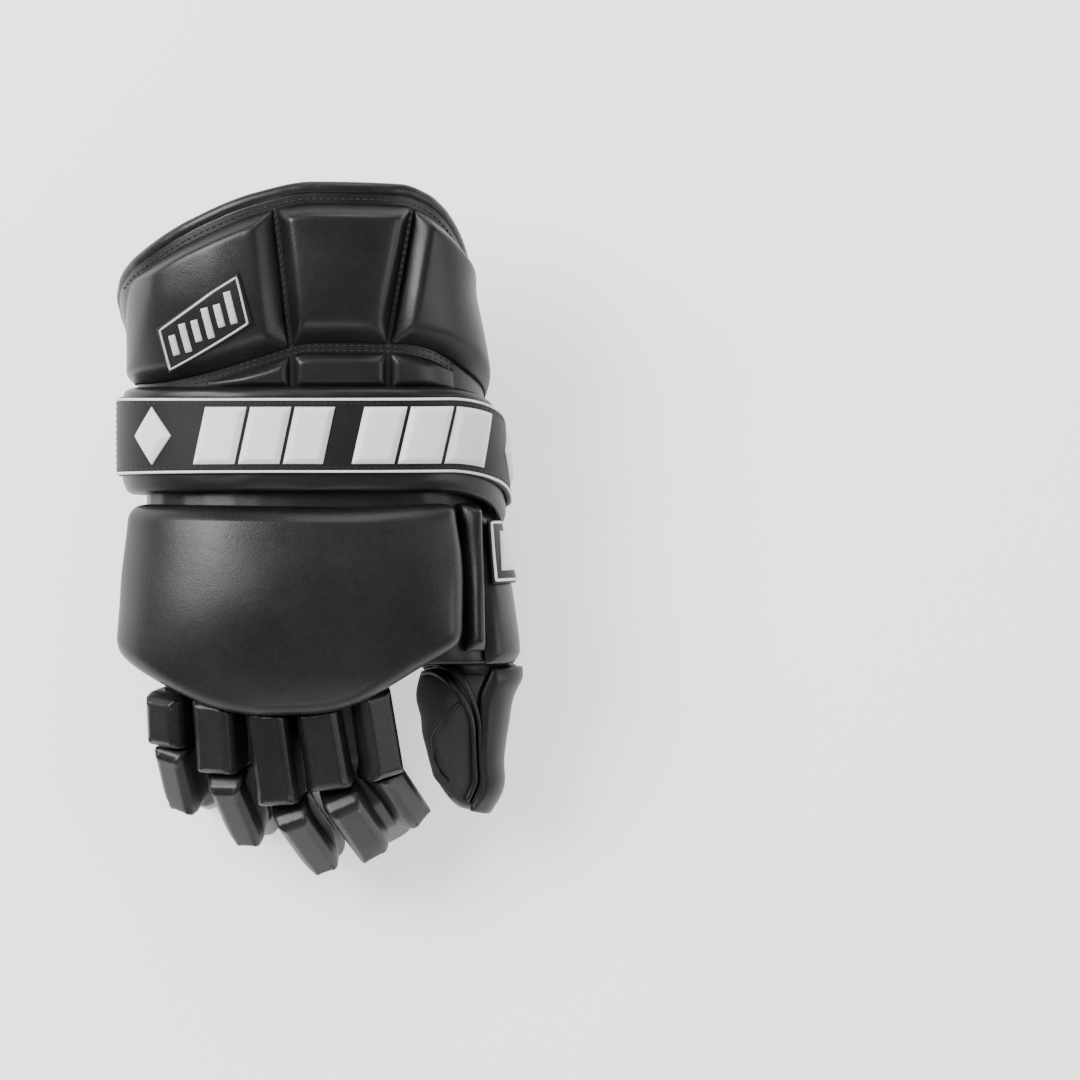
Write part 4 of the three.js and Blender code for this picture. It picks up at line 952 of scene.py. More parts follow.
@dataclass
class Panel:
    """A padded panel between four edges, each a line of flat points.

    Attributes:
        name: The piece's name.
        low: The edge at v = 0, from left to right.
        high: The edge at v = 1, from left to right.
        height: Height of the panel over its seat.
        bevels: Width of the slope at the left, right, low and high edges.
        edge: Height of the upright edge, as a share of the height.
        crown: Extra height in the middle.
        seat: Lift of the seat off the surface.
        softness: How far the corners between its slopes are rounded off.
        step: Size of its faces.
        unevenness: Depth of its soft unevenness.
        swelling: How far it may swell when it is filled as cloth.
        cloth_face: Size of the cloth's faces.
    """

    name: str
    low: np.ndarray
    high: np.ndarray
    height: float
    bevels: tuple[float, float, float, float]
    edge: float = 0.25
    crown: float = 0.0
    seat: float = 0.0
    softness: float = 0.09
    step: float = 1.1
    unevenness: float = 0.18
    swelling: float = 0.0
    cloth_face: float = 2.4

    def lay(self, surface: Surface) -> bpy.types.Object:
        """Shape the panel flat, and lay it over a surface.

        Args:
            surface: What it lies on.

        Returns:
            The piece.
        """
        width = max(np.linalg.norm(np.diff(self.low, axis=0), axis=1).sum(),
                    np.linalg.norm(np.diff(self.high, axis=0), axis=1).sum())
        length = max(np.linalg.norm(self.high[0] - self.low[0]),
                     np.linalg.norm(self.high[-1] - self.low[-1]))
        columns, rows = (max(4, int(size / self.step)) for size in (width, length))
        piece, uvw = flat_slab(self.name, columns, rows)
        u, v, w = uvw.T
        lines = [self.along_line(line, u) for line in (self.low, self.high)]
        places = lines[0] * (1 - v)[:, None] + lines[1] * v[:, None]
        across, along = places.T
        left = np.array([self.low[0], self.high[0]])
        right = np.array([self.low[-1], self.high[-1]])
        slopes = []
        for line, bevel in zip((left, right, self.low, self.high), self.bevels):
            slopes.append(self.edge + (1 - self.edge) * distance_to(line, across, along) / bevel)
        rise = np.clip(soft_min([*slopes, np.ones_like(u)], self.softness), self.edge * 0.6, 1)
        dome = (1 - (2 * u - 1) ** 2) * (1 - (2 * v - 1) ** 2)
        uneven = wobble(across, along, 24, len(self.name)) * self.unevenness * np.clip(rise, 0, 1)
        top = self.seat + self.height * rise + self.crown * dome + uneven
        points = surface.place(across, along, np.where(w > 0.5, top, self.seat))
        move_to(piece, points)
        tidy_mesh(piece)
        if self.swelling:
            swell(piece, points[w < 0.5], self.swelling, self.cloth_face)
        return piece

    @staticmethod
    def along_line(line: np.ndarray, share: np.ndarray) -> np.ndarray:
        """Return the points at shares of a line's own length.

        Args:
            line: The line's points.
            share: Shares of its length.

        Returns:
            The points.
        """
        steps = np.linalg.norm(np.diff(line, axis=0), axis=1)
        walked = np.concatenate(([0], np.cumsum(steps))) / steps.sum()
        return np.stack((np.interp(share, walked, line[:, 0]), np.interp(share, walked, line[:, 1])), axis=1)


def evenly(line: np.ndarray, step: float) -> np.ndarray:
    """Return points an even step apart on a line.

    Args:
        line: The line's points.
        step: The step, in millimetres.

    Returns:
        The points, with both ends.
    """
    steps = np.linalg.norm(np.diff(line, axis=0), axis=1)
    count = max(2, int(round(steps.sum() / step)) + 1)
    return Panel.along_line(line, np.linspace(0, 1, count))


def curve(points: Sequence[tuple[float, float]], samples: int = 60) -> np.ndarray:
    """Return a smooth flat line through points.

    Args:
        points: The points that it passes through.
        samples: How many points it is given back in.

    Returns:
        The line's points.
    """
    table = [(i, *point) for i, point in enumerate(points)]
    places = np.linspace(0, len(points) - 1, samples)
    return np.stack((between(table, 1, places), between(table, 2, places)), axis=1)


def square_to(run: np.ndarray) -> np.ndarray:
    """Return the unit directions square to flat directions."""
    run = run / (np.linalg.norm(run, axis=1, keepdims=True) + 1e-12)
    return np.stack((-run[:, 1], run[:, 0]), axis=1)


def sideways(line: np.ndarray) -> np.ndarray:
    """Return the unit direction square to a line at each of its points."""
    return square_to(np.gradient(line, axis=0))


def piping(name: str, surface: Surface, line: np.ndarray, width: float, lift: float, height: float,
           ring: bool = False, power: float = 0.5) -> bpy.types.Object:
    """Lay a raised strip with a rounded back along a flat line.

    Args:
        name: The piece's name.
        surface: What it lies on.
        line: Its middle line. A ring's line ends where it starts.
        width: Its width.
        lift: Lift of its seat.
        height: Height of its back over the seat.
        ring: Whether it closes on itself.
        power: How round its back is; lower is flatter.

    Returns:
        The piece.
    """
    points = evenly(line, PIPING_STEP)
    count = len(points) - 1
    piece, uvw = flat_slab(name, count, PIPING_ROWS, ring)
    u, v, w = uvw.T
    if ring:
        out = square_to(np.roll(points[:-1], -1, axis=0) - np.roll(points[:-1], 1, axis=0))
        out = np.vstack((out, out[:1]))
    else:
        out = sideways(points)
    index = np.clip(np.rint(u * count).astype(int), 0, count)
    places = points[index] + out[index] * ((v - 0.5) * width)[:, None]
    back = np.clip(1 - (2 * v - 1) ** 2, 0, 1) ** power
    rise = np.where(w > 0.5, height * (0.25 + 0.75 * back), 0)
    move_to(piece, surface.place(places[:, 0], places[:, 1], lift + rise))
    tidy_mesh(piece)
    return piece


@dataclass(frozen=True)
class Thread:
    """Sewing thread: pitch, length and thickness of its stitches."""

    pitch: float = 3.0
    length: float = 2.3
    thick: float = 0.75

    def sew(self, name: str, surface: Surface, lines: Sequence[np.ndarray], lift: float) -> bpy.types.Object:
        """Lay stitches along flat lines.

        Args:
            name: The piece's name.
            surface: What they are sewn into.
            lines: The seams.
            lift: The lift of the stitches.

        Returns:
            The piece.
        """
        bpy.ops.object.select_all(action="DESELECT")
        bpy.ops.mesh.primitive_uv_sphere_add(segments=6, ring_count=4, radius=0.5)
        stitch = bpy.context.object
        shape = coordinates(stitch)[:, [2, 0, 1]]
        shape[:, 0] = np.sign(shape[:, 0]) * np.abs(2 * shape[:, 0]) ** 0.7 / 2
        faces = [tuple(polygon.vertices) for polygon in stitch.data.polygons]
        bpy.data.objects.remove(stitch)
        points: list[np.ndarray] = []
        for line in lines:
            nodes = evenly(line, self.pitch)
            for node, side in zip(nodes, sideways(nodes)):
                way = np.array((side[1], -side[0]))
                flat = node + shape[:, :1] * self.length * way + shape[:, 1:2] * self.thick * side
                rise = lift + shape[:, 2] * self.thick - (2 * shape[:, 0]) ** 4 * self.thick * 0.6
                points.append(surface.place(flat[:, 0], flat[:, 1], rise))
        mesh = bpy.data.meshes.new(name)
        count = len(shape)
        every = [tuple(i + count * k for i in face) for k in range(len(points)) for face in faces]
        mesh.from_pydata(np.vstack(points).tolist(), [], every)
        piece = bpy.data.objects.new(name, mesh)
        bpy.context.collection.objects.link(piece)
        tidy_mesh(piece, 0.0001)
        return piece


THREAD = Thread()


def copy_of(node: str, name: str) -> bpy.types.Object:
    """Copy a CAD node as a piece of its own.

    Args:
        node: The CAD node.
        name: The piece's name.

    Returns:
        The piece.
    """
    piece = bpy.data.objects.new(name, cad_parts[node].data.copy())
    bpy.context.collection.objects.link(piece)
    return piece


def rebuild(piece: bpy.types.Object, voxel: float, passes: int) -> None:
    """Merge a copied piece, rebuild it with even faces and ease its edges.

    Args:
        piece: The piece.
        voxel: Size of its faces in millimetres.
        passes: How often its edges are eased.
    """
    tidy_mesh(piece, CAD_MERGE)
    finish_modifier(piece, "REMESH", mode="VOXEL", voxel_size=voxel * MM, use_smooth_shade=True)
    finish_modifier(piece, "SMOOTH", factor=0.5, iterations=passes)


def softened(node: str, name: str, voxel: float, passes: int, fill: float = 0.0) -> bpy.types.Object:
    """Copy a CAD node as a soft body: rebuild it fine, ease its edges and let its faces stand out.

    Args:
        node: The CAD node.
        name: The piece's name.
        voxel: Size of its faces in millimetres.
        passes: How often its edges are eased.
        fill: How far its faces stand out in millimetres.

    Returns:
        The piece.
    """
    piece = copy_of(node, name)
    rebuild(piece, voxel, passes)
    if fill:
        finish_modifier(piece, "DISPLACE", strength=fill * MM, mid_level=0)
    activate(piece)
    bpy.ops.object.shade_smooth()
    return piece


@dataclass
class GloveBody:
    """Hand shell, finger webbing and stalls, sewn into one body, and the palm's patch.

    Attributes:
        shop: Where their finishes come from.
        voxel: Size of the body's faces before they are thinned.
        passes: How often its edges are eased.
        kept: Share of its faces that is kept.
        palm_voxel: Size of the palm patch's faces.
        palm_passes: How often its edges are eased.
        stalls: The hollows for the fingers and the thumb.
    """

    shop: Workshop
    voxel: float = 1.25
    passes: int = 16
    kept: float = 0.6
    palm_voxel: float = 1.2
    palm_passes: int = 10
    stalls: tuple[str, ...] = ("finger_stall_pinky", "finger_stall_ring", "finger_stall_middle",
                               "finger_stall_index", "thumb_stall")

    def build(self) -> None:
        """Make the pieces."""
        nodes = ("hand_shell", "finger_webbing", *self.stalls)
        copies = []
        for node in nodes:
            copy = copy_of(node, f"{node}_copy")
            if node == "thumb_stall":
                move_to(copy, THUMB.hung(coordinates(copy)))
            copies.append(copy)
        activate(copies[0])
        for copy in copies:
            copy.select_set(True)
        bpy.ops.object.join()
        body = bpy.context.object
        body.name = "glove_body"
        body.data.name = "glove_body"
        rebuild(body, self.voxel, self.passes)
        finish_modifier(body, "DECIMATE", ratio=self.kept)
        activate(body)
        bpy.ops.object.shade_smooth()
        self.shop.dress(body, Finishes.LEATHER, nodes)
        palm = softened("palm_patch", "palm_panel", self.palm_voxel, self.palm_passes)
        self.shop.dress(palm, Finishes.PALM, ("palm_patch",))


@dataclass(frozen=True)
class CuffPlate:
    """The plain plate on the cuff: four slanted sides, a cord round them and bars between them.

    Attributes:
        middle: Its middle, across and along.
        turn: How far it is turned.
        sheet: Half its height, and its reach on the long side and on the short side.
        cord: The same of the cord's line.
        thickness: Thickness of the plate.
        sink: How far the cord and the bars are sunk into it.
        first_bar: Place of the first bar.
        bar_pitch: Distance between bars.
        bar_halves: Half the length of each bar.
        bar_width: Width of the bars.
        bar_lean: Lean of the bars, as a share of their length.
    """

    middle: tuple[float, float] = (-44.0, 52.0)
    turn: float = math.radians(32)
    sheet: tuple[float, float, float] = (10.0, 23.0, 17.0)
    cord: tuple[float, float, float] = (8.6, 21.3, 15.6)
    thickness: float = 1.5
    sink: float = 0.2
    first_bar: float = -14.0
    bar_pitch: float = 5.4
    bar_halves: tuple[float, ...] = (4.2, 5.8, 4.2, 5.8, 4.2, 5.8)
    bar_width: float = 2.9
    bar_lean: float = 0.32

    def point(self, share: float, height: float) -> np.ndarray:
        """Return a flat place on the turned plate.

        Args:
            share: How far ahead of the middle it is.
            height: How far up from the middle it is.

        Returns:
            The place, across and along.
        """
        ahead = np.array((math.cos(self.turn), math.sin(self.turn)))
        up = np.array((-math.sin(self.turn), math.cos(self.turn)))
        return np.array(self.middle) + share * ahead + height * up

    def edges(self, form: tuple[float, float, float]) -> tuple[np.ndarray, np.ndarray]:
        """Return the low and the high edge of a slanted four-sided form.

        Args:
            form: Half its height, and its reach on the long side and on the short side.

        Returns:
            The two edges, each from left to right.
        """
        half, long, short = form
        low = np.array([self.point(share, -half) for share in np.linspace(-long, short, 12)])
        high = np.array([self.point(share, half) for share in np.linspace(-short, long, 12)])
        return low, high

    def bars(self) -> list[np.ndarray]:
        """Return the middle line of each bar."""
        lines = []
        for i, half in enumerate(self.bar_halves):
            share = self.first_bar + i * self.bar_pitch
            lean = self.bar_lean * half
            lines.append(np.array((self.point(share - lean, -half), self.point(share + lean, half))))
        return lines


@dataclass
class Cuff:
    """The flared cuff: shell, binding, three padded panels, flexing strip, stitches and plate.

    Attributes:
        shop: Where its finishes come from.
        tuck: How far the shell runs under the strap.
        shell_faces: Faces of the shell, across and along.
        binding_faces: Faces of the binding, across and round its fold.
        binding_middle: How far past the rim the binding's middle lies.
        binding_reach: How far the binding reaches each way from its middle.
        binding_fold: Half the thickness of the binding.
        names: The panels, from the little finger to the thumb.
        seams: Low and high end of the seams between panels, as shares of the cuff's reach.
        pinky_edge: The same of the little finger's panel's free edge.
        thumb_edge: The same of the thumb's panel's free edge.
        gap: Half the width of a seam.
        border: Width of the strip between the panels and the rim.
        panel_height: Height of the panels.
        panel_bevels: Width of each panel's slopes at the left, right, low and high edges.
        flex_ends: Ends of the flexing strip, as shares of the cuff's reach.
        flex_height: Height of the flexing strip's pads.
        flex_bevels: Width of each of these pads' slopes.
        double_seam: Distance between the two rows of the curved seam.
        rim_stitch: How far inside the rim its stitches run.
        rim_ends: Ends of the rim's stitches, as shares of the cuff's reach.
        arc_ends: Ends of the curved seam's stitches, as shares of the cuff's reach.
        plate: The plate.
        plate_lift: How far the plate stands off the panel's own height.
    """

    shop: Workshop
    tuck: float = 12.0
    shell_faces: tuple[int, int] = (190, 80)
    binding_faces: tuple[int, int] = (239, 16)
    binding_middle: float = 1.4
    binding_reach: float = 2.9
    binding_fold: float = 2.3
    names: tuple[str, ...] = ("pinky", "center", "thumb")
    seams: tuple[tuple[float, float], ...] = ((-0.075, -0.135), (0.27, 0.375))
    pinky_edge: tuple[float, float] = (-0.8, -0.67)
    thumb_edge: tuple[float, float] = (0.85, 0.78)
    gap: float = 1.1
    border: float = 5.0
    panel_height: float = 8.0
    panel_bevels: tuple[tuple[float, ...], ...] = ((18, 8, 9, 5), (5, 6, 9, 5), (5, 24, 8, 5))
    flex_ends: tuple[float, float] = (-0.36, 0.52)
    flex_height: float = 3.6
    flex_bevels: tuple[tuple[float, ...], ...] = ((16, 2.5, 3, 3), (2.5, 2.5, 3, 3), (2.5, 14, 3, 3))
    double_seam: float = 2.2
    rim_stitch: float = 3.2
    rim_ends: tuple[float, float] = (-0.72, 0.8)
    arc_ends: tuple[float, float] = (-0.4, 0.52)
    plate: CuffPlate = CuffPlate()
    plate_lift: float = 0.6

    def build(self) -> None:
        """Make the pieces."""
        self._shell()
        self._binding()
        self._panels()
        self._flex_strip()
        self._stitches()
        self._patch()

    def _shell(self) -> None:
        """The leather wall that the panels are sewn to."""
        piece, uvw = flat_slab("cuff_shell_skin", *self.shell_faces)
        u, v, w = uvw.T
        across = -CUFF_REACH_PINKY + u * (CUFF_REACH_PINKY + CUFF_REACH_THUMB)
        along = -self.tuck + v * (cuff_line(RIM, across) + self.tuck)
        lift = np.where(w > 0.5, CUFF_FACE, CUFF_SEAT)
        move_to(piece, HAND.place(across, along, lift))
        tidy_mesh(piece)
        self.shop.dress(piece, Finishes.LEATHER, ("cuff_shell",))

    def _binding(self) -> None:
        """The folded lip round the rim."""
        columns, rows = self.binding_faces
        across = np.linspace(-CUFF_REACH_PINKY, CUFF_REACH_THUMB, columns + 1)
        piece, uvw = flat_slab("cuff_binding_roll", columns, rows)
        u, v, w = uvw.T
        column = np.rint(u * columns).astype(int)
        turn = np.where(w > 0.5, v, -v) * math.pi
        place = rim_point(across[column], self.binding_middle - self.binding_reach * np.cos(turn))
        middle = (CUFF_SEAT + CUFF_FACE) / 2
        fold = self.binding_fold + 0.12 * wobble(across[column], 0 * u, 9, 3)
        move_to(piece, HAND.place(place[0], place[1], middle + fold * np.sin(turn)))
        tidy_mesh(piece)
        self.shop.dress(piece, Finishes.BINDING, ("cuff_binding",))

    def edges(self, left: np.ndarray, right: np.ndarray) -> tuple[np.ndarray, np.ndarray]:
        """Return a panel's edge at the curved seam and its edge at the rim.

        Args:
            left: Low and high end of its left side, across.
            right: Low and high end of its right side, across.

        Returns:
            The two edges, each from left to right.
        """
        share = np.linspace(0, 1, 24)
        low_x = left[0] + (right[0] - left[0]) * share
        low_y = np.maximum(cuff_line(SEAM, low_x), STRAP_WIDTH / 2 - strap_drop(low_x)) + self.gap
        high = rim_point(left[1] + (right[1] - left[1]) * share, -self.border)
        return np.stack((low_x, low_y), axis=1), np.stack(high, axis=1)

    def drawn_in(self, column: int, left: np.ndarray, right: np.ndarray) -> tuple[np.ndarray, np.ndarray]:
        """Return a panel's sides drawn in by the gap, where a seam runs beside them.

        Args:
            column: Which panel it is.
            left: Its left side, across.
            right: Its right side, across.

        Returns:
            The left and the right side.
        """
        return left + self.gap * (column > 0), right - self.gap * (column < len(self.names) - 1)

    def _panels(self) -> None:
        """The three padded panels."""
        sides = [np.array(shares) * reach for shares, reach in (
            (self.pinky_edge, CUFF_REACH_PINKY), (self.seams[0], CUFF_REACH_PINKY),
            (self.seams[1], CUFF_REACH_THUMB), (self.thumb_edge, CUFF_REACH_THUMB),
        )]
        for i, (name, bevels) in enumerate(zip(self.names, self.panel_bevels)):
            low, high = self.edges(*self.drawn_in(i, sides[i], sides[i + 1]))
            panel = Panel(f"cuff_pad_{name}", low, high, self.panel_height, bevels, edge=0.12,
                          crown=1.0, seat=CUFF_FACE, swelling=1.6)
            piece = panel.lay(HAND)
            self.shop.dress(piece, Finishes.LEATHER, (f"cuff_panel_{name}",))

    def _flex_strip(self) -> None:
        """Three low pads between the strap and the curved seam."""
        sides = (self.flex_ends[0] * CUFF_REACH_PINKY, self.seams[0][0] * CUFF_REACH_PINKY,
                 self.seams[1][0] * CUFF_REACH_THUMB, self.flex_ends[1] * CUFF_REACH_THUMB)
        for i, (name, bevels) in enumerate(zip(self.names, self.flex_bevels)):
            across = np.linspace(*self.drawn_in(i, sides[i], sides[i + 1]), 20)
            low = STRAP_WIDTH / 2 - strap_drop(across) - 1
            high = np.maximum(cuff_line(SEAM, across) - self.gap - self.double_seam, low + 3)
            panel = Panel(f"flex_pad_{name}", np.stack((across, low), axis=1),
                          np.stack((across, high), axis=1), self.flex_height, bevels, edge=0.2,
                          crown=0.5, seat=CUFF_FACE, step=0.9)
            piece = panel.lay(HAND)
            self.shop.dress(piece, Finishes.LEATHER, (f"flex_panel_{name}",))

    def _stitches(self) -> None:
        """Seams between the panels, round the rim and, in two rows, along the curved seam."""
        lines = []
        for (low, high), reach in zip(self.seams, (CUFF_REACH_PINKY, CUFF_REACH_THUMB)):
            bottom = np.array((low * reach, float(cuff_line(SEAM, low * reach))))
            top = np.array(rim_point(high * reach, -self.border))
            lines.append(np.array((bottom, top)))
        across = np.linspace(self.rim_ends[0] * CUFF_REACH_PINKY, self.rim_ends[1] * CUFF_REACH_THUMB, 160)
        lines.append(np.stack(rim_point(across, -self.rim_stitch), axis=1))
        arc = np.linspace(self.arc_ends[0] * CUFF_REACH_PINKY, self.arc_ends[1] * CUFF_REACH_THUMB, 80)
        for inset in (0, self.double_seam):
            lines.append(np.stack((arc, cuff_line(SEAM, arc) - inset), axis=1))
        piece = THREAD.sew("cuff_stitches", HAND, lines, CUFF_FACE + 0.2)
        self.shop.dress(piece, Finishes.THREAD)

    def _patch(self) -> None:
        """The plain plate with slanted bars on the little finger's panel."""
        plate = self.plate
        seat = CUFF_FACE + self.panel_height + self.plate_lift
        sheet = Panel("emblem_plate", *plate.edges(plate.sheet), plate.thickness, (1.2,) * 4, edge=0.55,
                      seat=seat, step=0.7, unevenness=0.05)
        self.shop.dress(sheet.lay(HAND), Finishes.LABEL, ("emblem_patch",))
        low, high = plate.edges(plate.cord)
        face = seat + plate.thickness - plate.sink
        cord = piping("emblem_piping", HAND, np.vstack((low, high[::-1], low[:1])), 0.9, face, 0.7,
                      ring=True)
        self.shop.dress(cord, Finishes.SILVER)
        for i, line in enumerate(plate.bars()):
            bar = piping(f"emblem_bar_{i + 1}", HAND, line, plate.bar_width, face, 0.8, power=0.3)
            self.shop.dress(bar, Finishes.SILVER)


@dataclass
class WristStrap:
    """The padded strap round the wrist and the rubber label on it.

    Attributes:
        shop: Where its finishes come from.
        faces: Faces of the strap, round the wrist and across its width.
        low_roll: Width of the rolled edge towards the fingers.
        high_roll: Width of the rolled edge towards the cuff.
        crown: How far the strap swells between its edges.
        edge: Height of the strap's upright edge, as a share of its thickness.
        flat_from: Where the strap turns flat under the wrist, as shares of the way round.
        label_pinky: Reach of the label to the little finger.
        label_thumb: Reach of the label to the thumb.
        label_corner: Rounding of the label's corners.
        border_inset: How far inside the label's edge its border runs.
        stitch_inset: How far inside the label's edge its stitches run.
        block_length: Length of a block, along the label.
        block_width: Width of a block, across the label.
        block_height: Height of a block.
        block_bevel: Width of a block's slopes.
        block_slant: Slant of a block.
        block_gap: Gap between blocks.
        block_rows: Where each row of blocks starts, as shares of the label's reach.
        row_length: How many blocks are in a row.
        diamonds: Where the diamonds are, as shares of the label's reach.
    """

    shop: Workshop
    faces: tuple[int, int] = (340, 44)
    low_roll: float = 8.0
    high_roll: float = 4.0
    crown: float = 1.1
    edge: float = 0.3
    flat_from: tuple[float, float] = (0.26, 0.34)
    label_pinky: float = 97.0
    label_thumb: float = 114.0
    label_corner: float = 3.5
    border_inset: float = 1.1
    stitch_inset: float = 2.9
    block_length: float = 16.5
    block_width: float = 26.0
    block_height: float = 2.0
    block_bevel: float = 2.2
    block_slant: float = 5.0
    block_gap: float = 1.5
    block_rows: tuple[float, float] = (-0.39, 0.23)
    row_length: int = 3
    diamonds: tuple[float, float] = (-0.68, 0.81)

    def build(self) -> None:
        """Make the pieces."""
        self._band()
        self._label()
        self._blocks()

    def _band(self) -> None:
        """The strap, a closed loop with rolled edges."""
        piece, uvw = flat_slab("strap_band", *self.faces, ring=True)
        u, v, w = uvw.T
        turned = u - 0.5
        girth = float(HAND.girth(0))
        across = turned * girth
        along = (v - 0.5) * STRAP_WIDTH
        place = along - strap_drop(across)
        low = v * STRAP_WIDTH / self.low_roll
        high = (1 - v) * STRAP_WIDTH / self.high_roll
        roll = soft_min([low, high, np.ones_like(u)], 0.12)
        roll = np.sqrt(np.clip(1 - (1 - np.clip(roll, 0, 1)) ** 2, 0, 1))
        under = smooth(*self.flat_from, np.abs(turned))
        crown = self.crown * np.sin(math.pi * v) ** 2 * (1 - under)
        top = STRAP_SEAT + STRAP_THICKNESS * (self.edge + (1 - self.edge) * roll) + crown
        uneven = 0.2 * wobble(across, along * 2, 20, 5) * (1 - under)
        lift = np.where(w > 0.5, top + uneven, STRAP_SEAT)
        move_to(piece, HAND.place(across / girth * HAND.girth(place), place, lift))
        tidy_mesh(piece)
        self.shop.dress(piece, Finishes.LEATHER, ("wrist_strap",))

    def outline(self, inset: float) -> np.ndarray:
        """Return the label's outline drawn in by a distance.

        Args:
            inset: The distance.

        Returns:
            A closed line.
        """
        left, right = -self.label_pinky + inset, self.label_thumb - inset
        low = LABEL_SHIFT - LABEL_WIDTH / 2 + inset
        high = LABEL_SHIFT + LABEL_WIDTH / 2 - inset
        radius = max(self.label_corner - inset, 0.8)
        points = []
        corners = ((right, high, 0), (left, high, 90), (left, low, 180), (right, low, 270))
        for x, y, start in corners:
            middle = (x - math.copysign(radius, x), y - math.copysign(radius, y - LABEL_SHIFT))
            for turn in np.radians(np.linspace(start, start + 90, 7)):
                points.append((middle[0] + radius * math.cos(turn),
                               middle[1] + radius * math.sin(turn)))
        points.append(points[0])
        return np.array(points)

    def _label(self) -> None:
        """The rubber sheet, its light border and its stitches."""
        half = LABEL_WIDTH / 2
        across = np.linspace(-self.label_pinky, self.label_thumb, 40)
        low, high = (np.stack((across, np.full(across.shape, edge)), axis=1)
                     for edge in (LABEL_SHIFT - half, LABEL_SHIFT + half))
        sheet = Panel("label_sheet", low, high, LABEL_THICKNESS + 0.4, (0.8,) * 4, edge=0.5,
                      seat=-LABEL_THICKNESS - 0.4, step=0.9, unevenness=0.04)
        self.shop.dress(sheet.lay(LABEL), Finishes.LABEL, ("strap_label",))
        border = piping("label_border", LABEL, self.outline(self.border_inset), 1.2, -0.35, 0.75,
                        ring=True, power=0.3)
        self.shop.dress(border, Finishes.WHITE)
        thread = Thread(pitch=2.6, length=1.9, thick=0.5)
        stitches = thread.sew("label_stitches", LABEL, [self.outline(self.stitch_inset)], 0.1)
        self.shop.dress(stitches, Finishes.THREAD)

    def _blocks(self) -> None:
        """Raised slanted blocks and diamonds."""
        low = LABEL_SHIFT - self.block_width / 2
        high = LABEL_SHIFT + self.block_width / 2
        half = self.block_length / 2
        slant = self.block_slant / 2
        reaches = (self.label_pinky, self.label_thumb)
        firsts = [share * reach for share, reach in zip(self.block_rows, reaches)]
        pitch = self.block_length + self.block_gap
        places = [first + i * pitch for first in firsts for i in range(self.row_length)]
        for i, across in enumerate(places):
            self._plate(f"label_block_{i + 1}",
                        ((across - half - slant, low), (across + half - slant, low),
                         (across - half + slant, high), (across + half + slant, high)))
        for i, (share, reach) in enumerate(zip(self.diamonds, reaches)):
            across = share * reach
            self._plate(f"label_diamond_{i + 1}", ((across - half, LABEL_SHIFT), (across, low),
                                                   (across, high), (across + half, LABEL_SHIFT)))

    def _plate(self, node: str, corners: Sequence[tuple[float, float]]) -> None:
        """Make one raised four-sided plate.

        Args:
            node: The node that it stands for.
            corners: The low edge's two corners, then the high edge's two.
        """
        plate = Panel(node.replace("label", "raised"), np.array(corners[:2]), np.array(corners[2:]),
                      self.block_height + 0.4, (self.block_bevel,) * 4, edge=0.35, seat=-0.3, softness=0.035,
                      step=0.45, unevenness=0.0)
        self.shop.dress(plate.lay(LABEL), Finishes.WHITE, (node,))


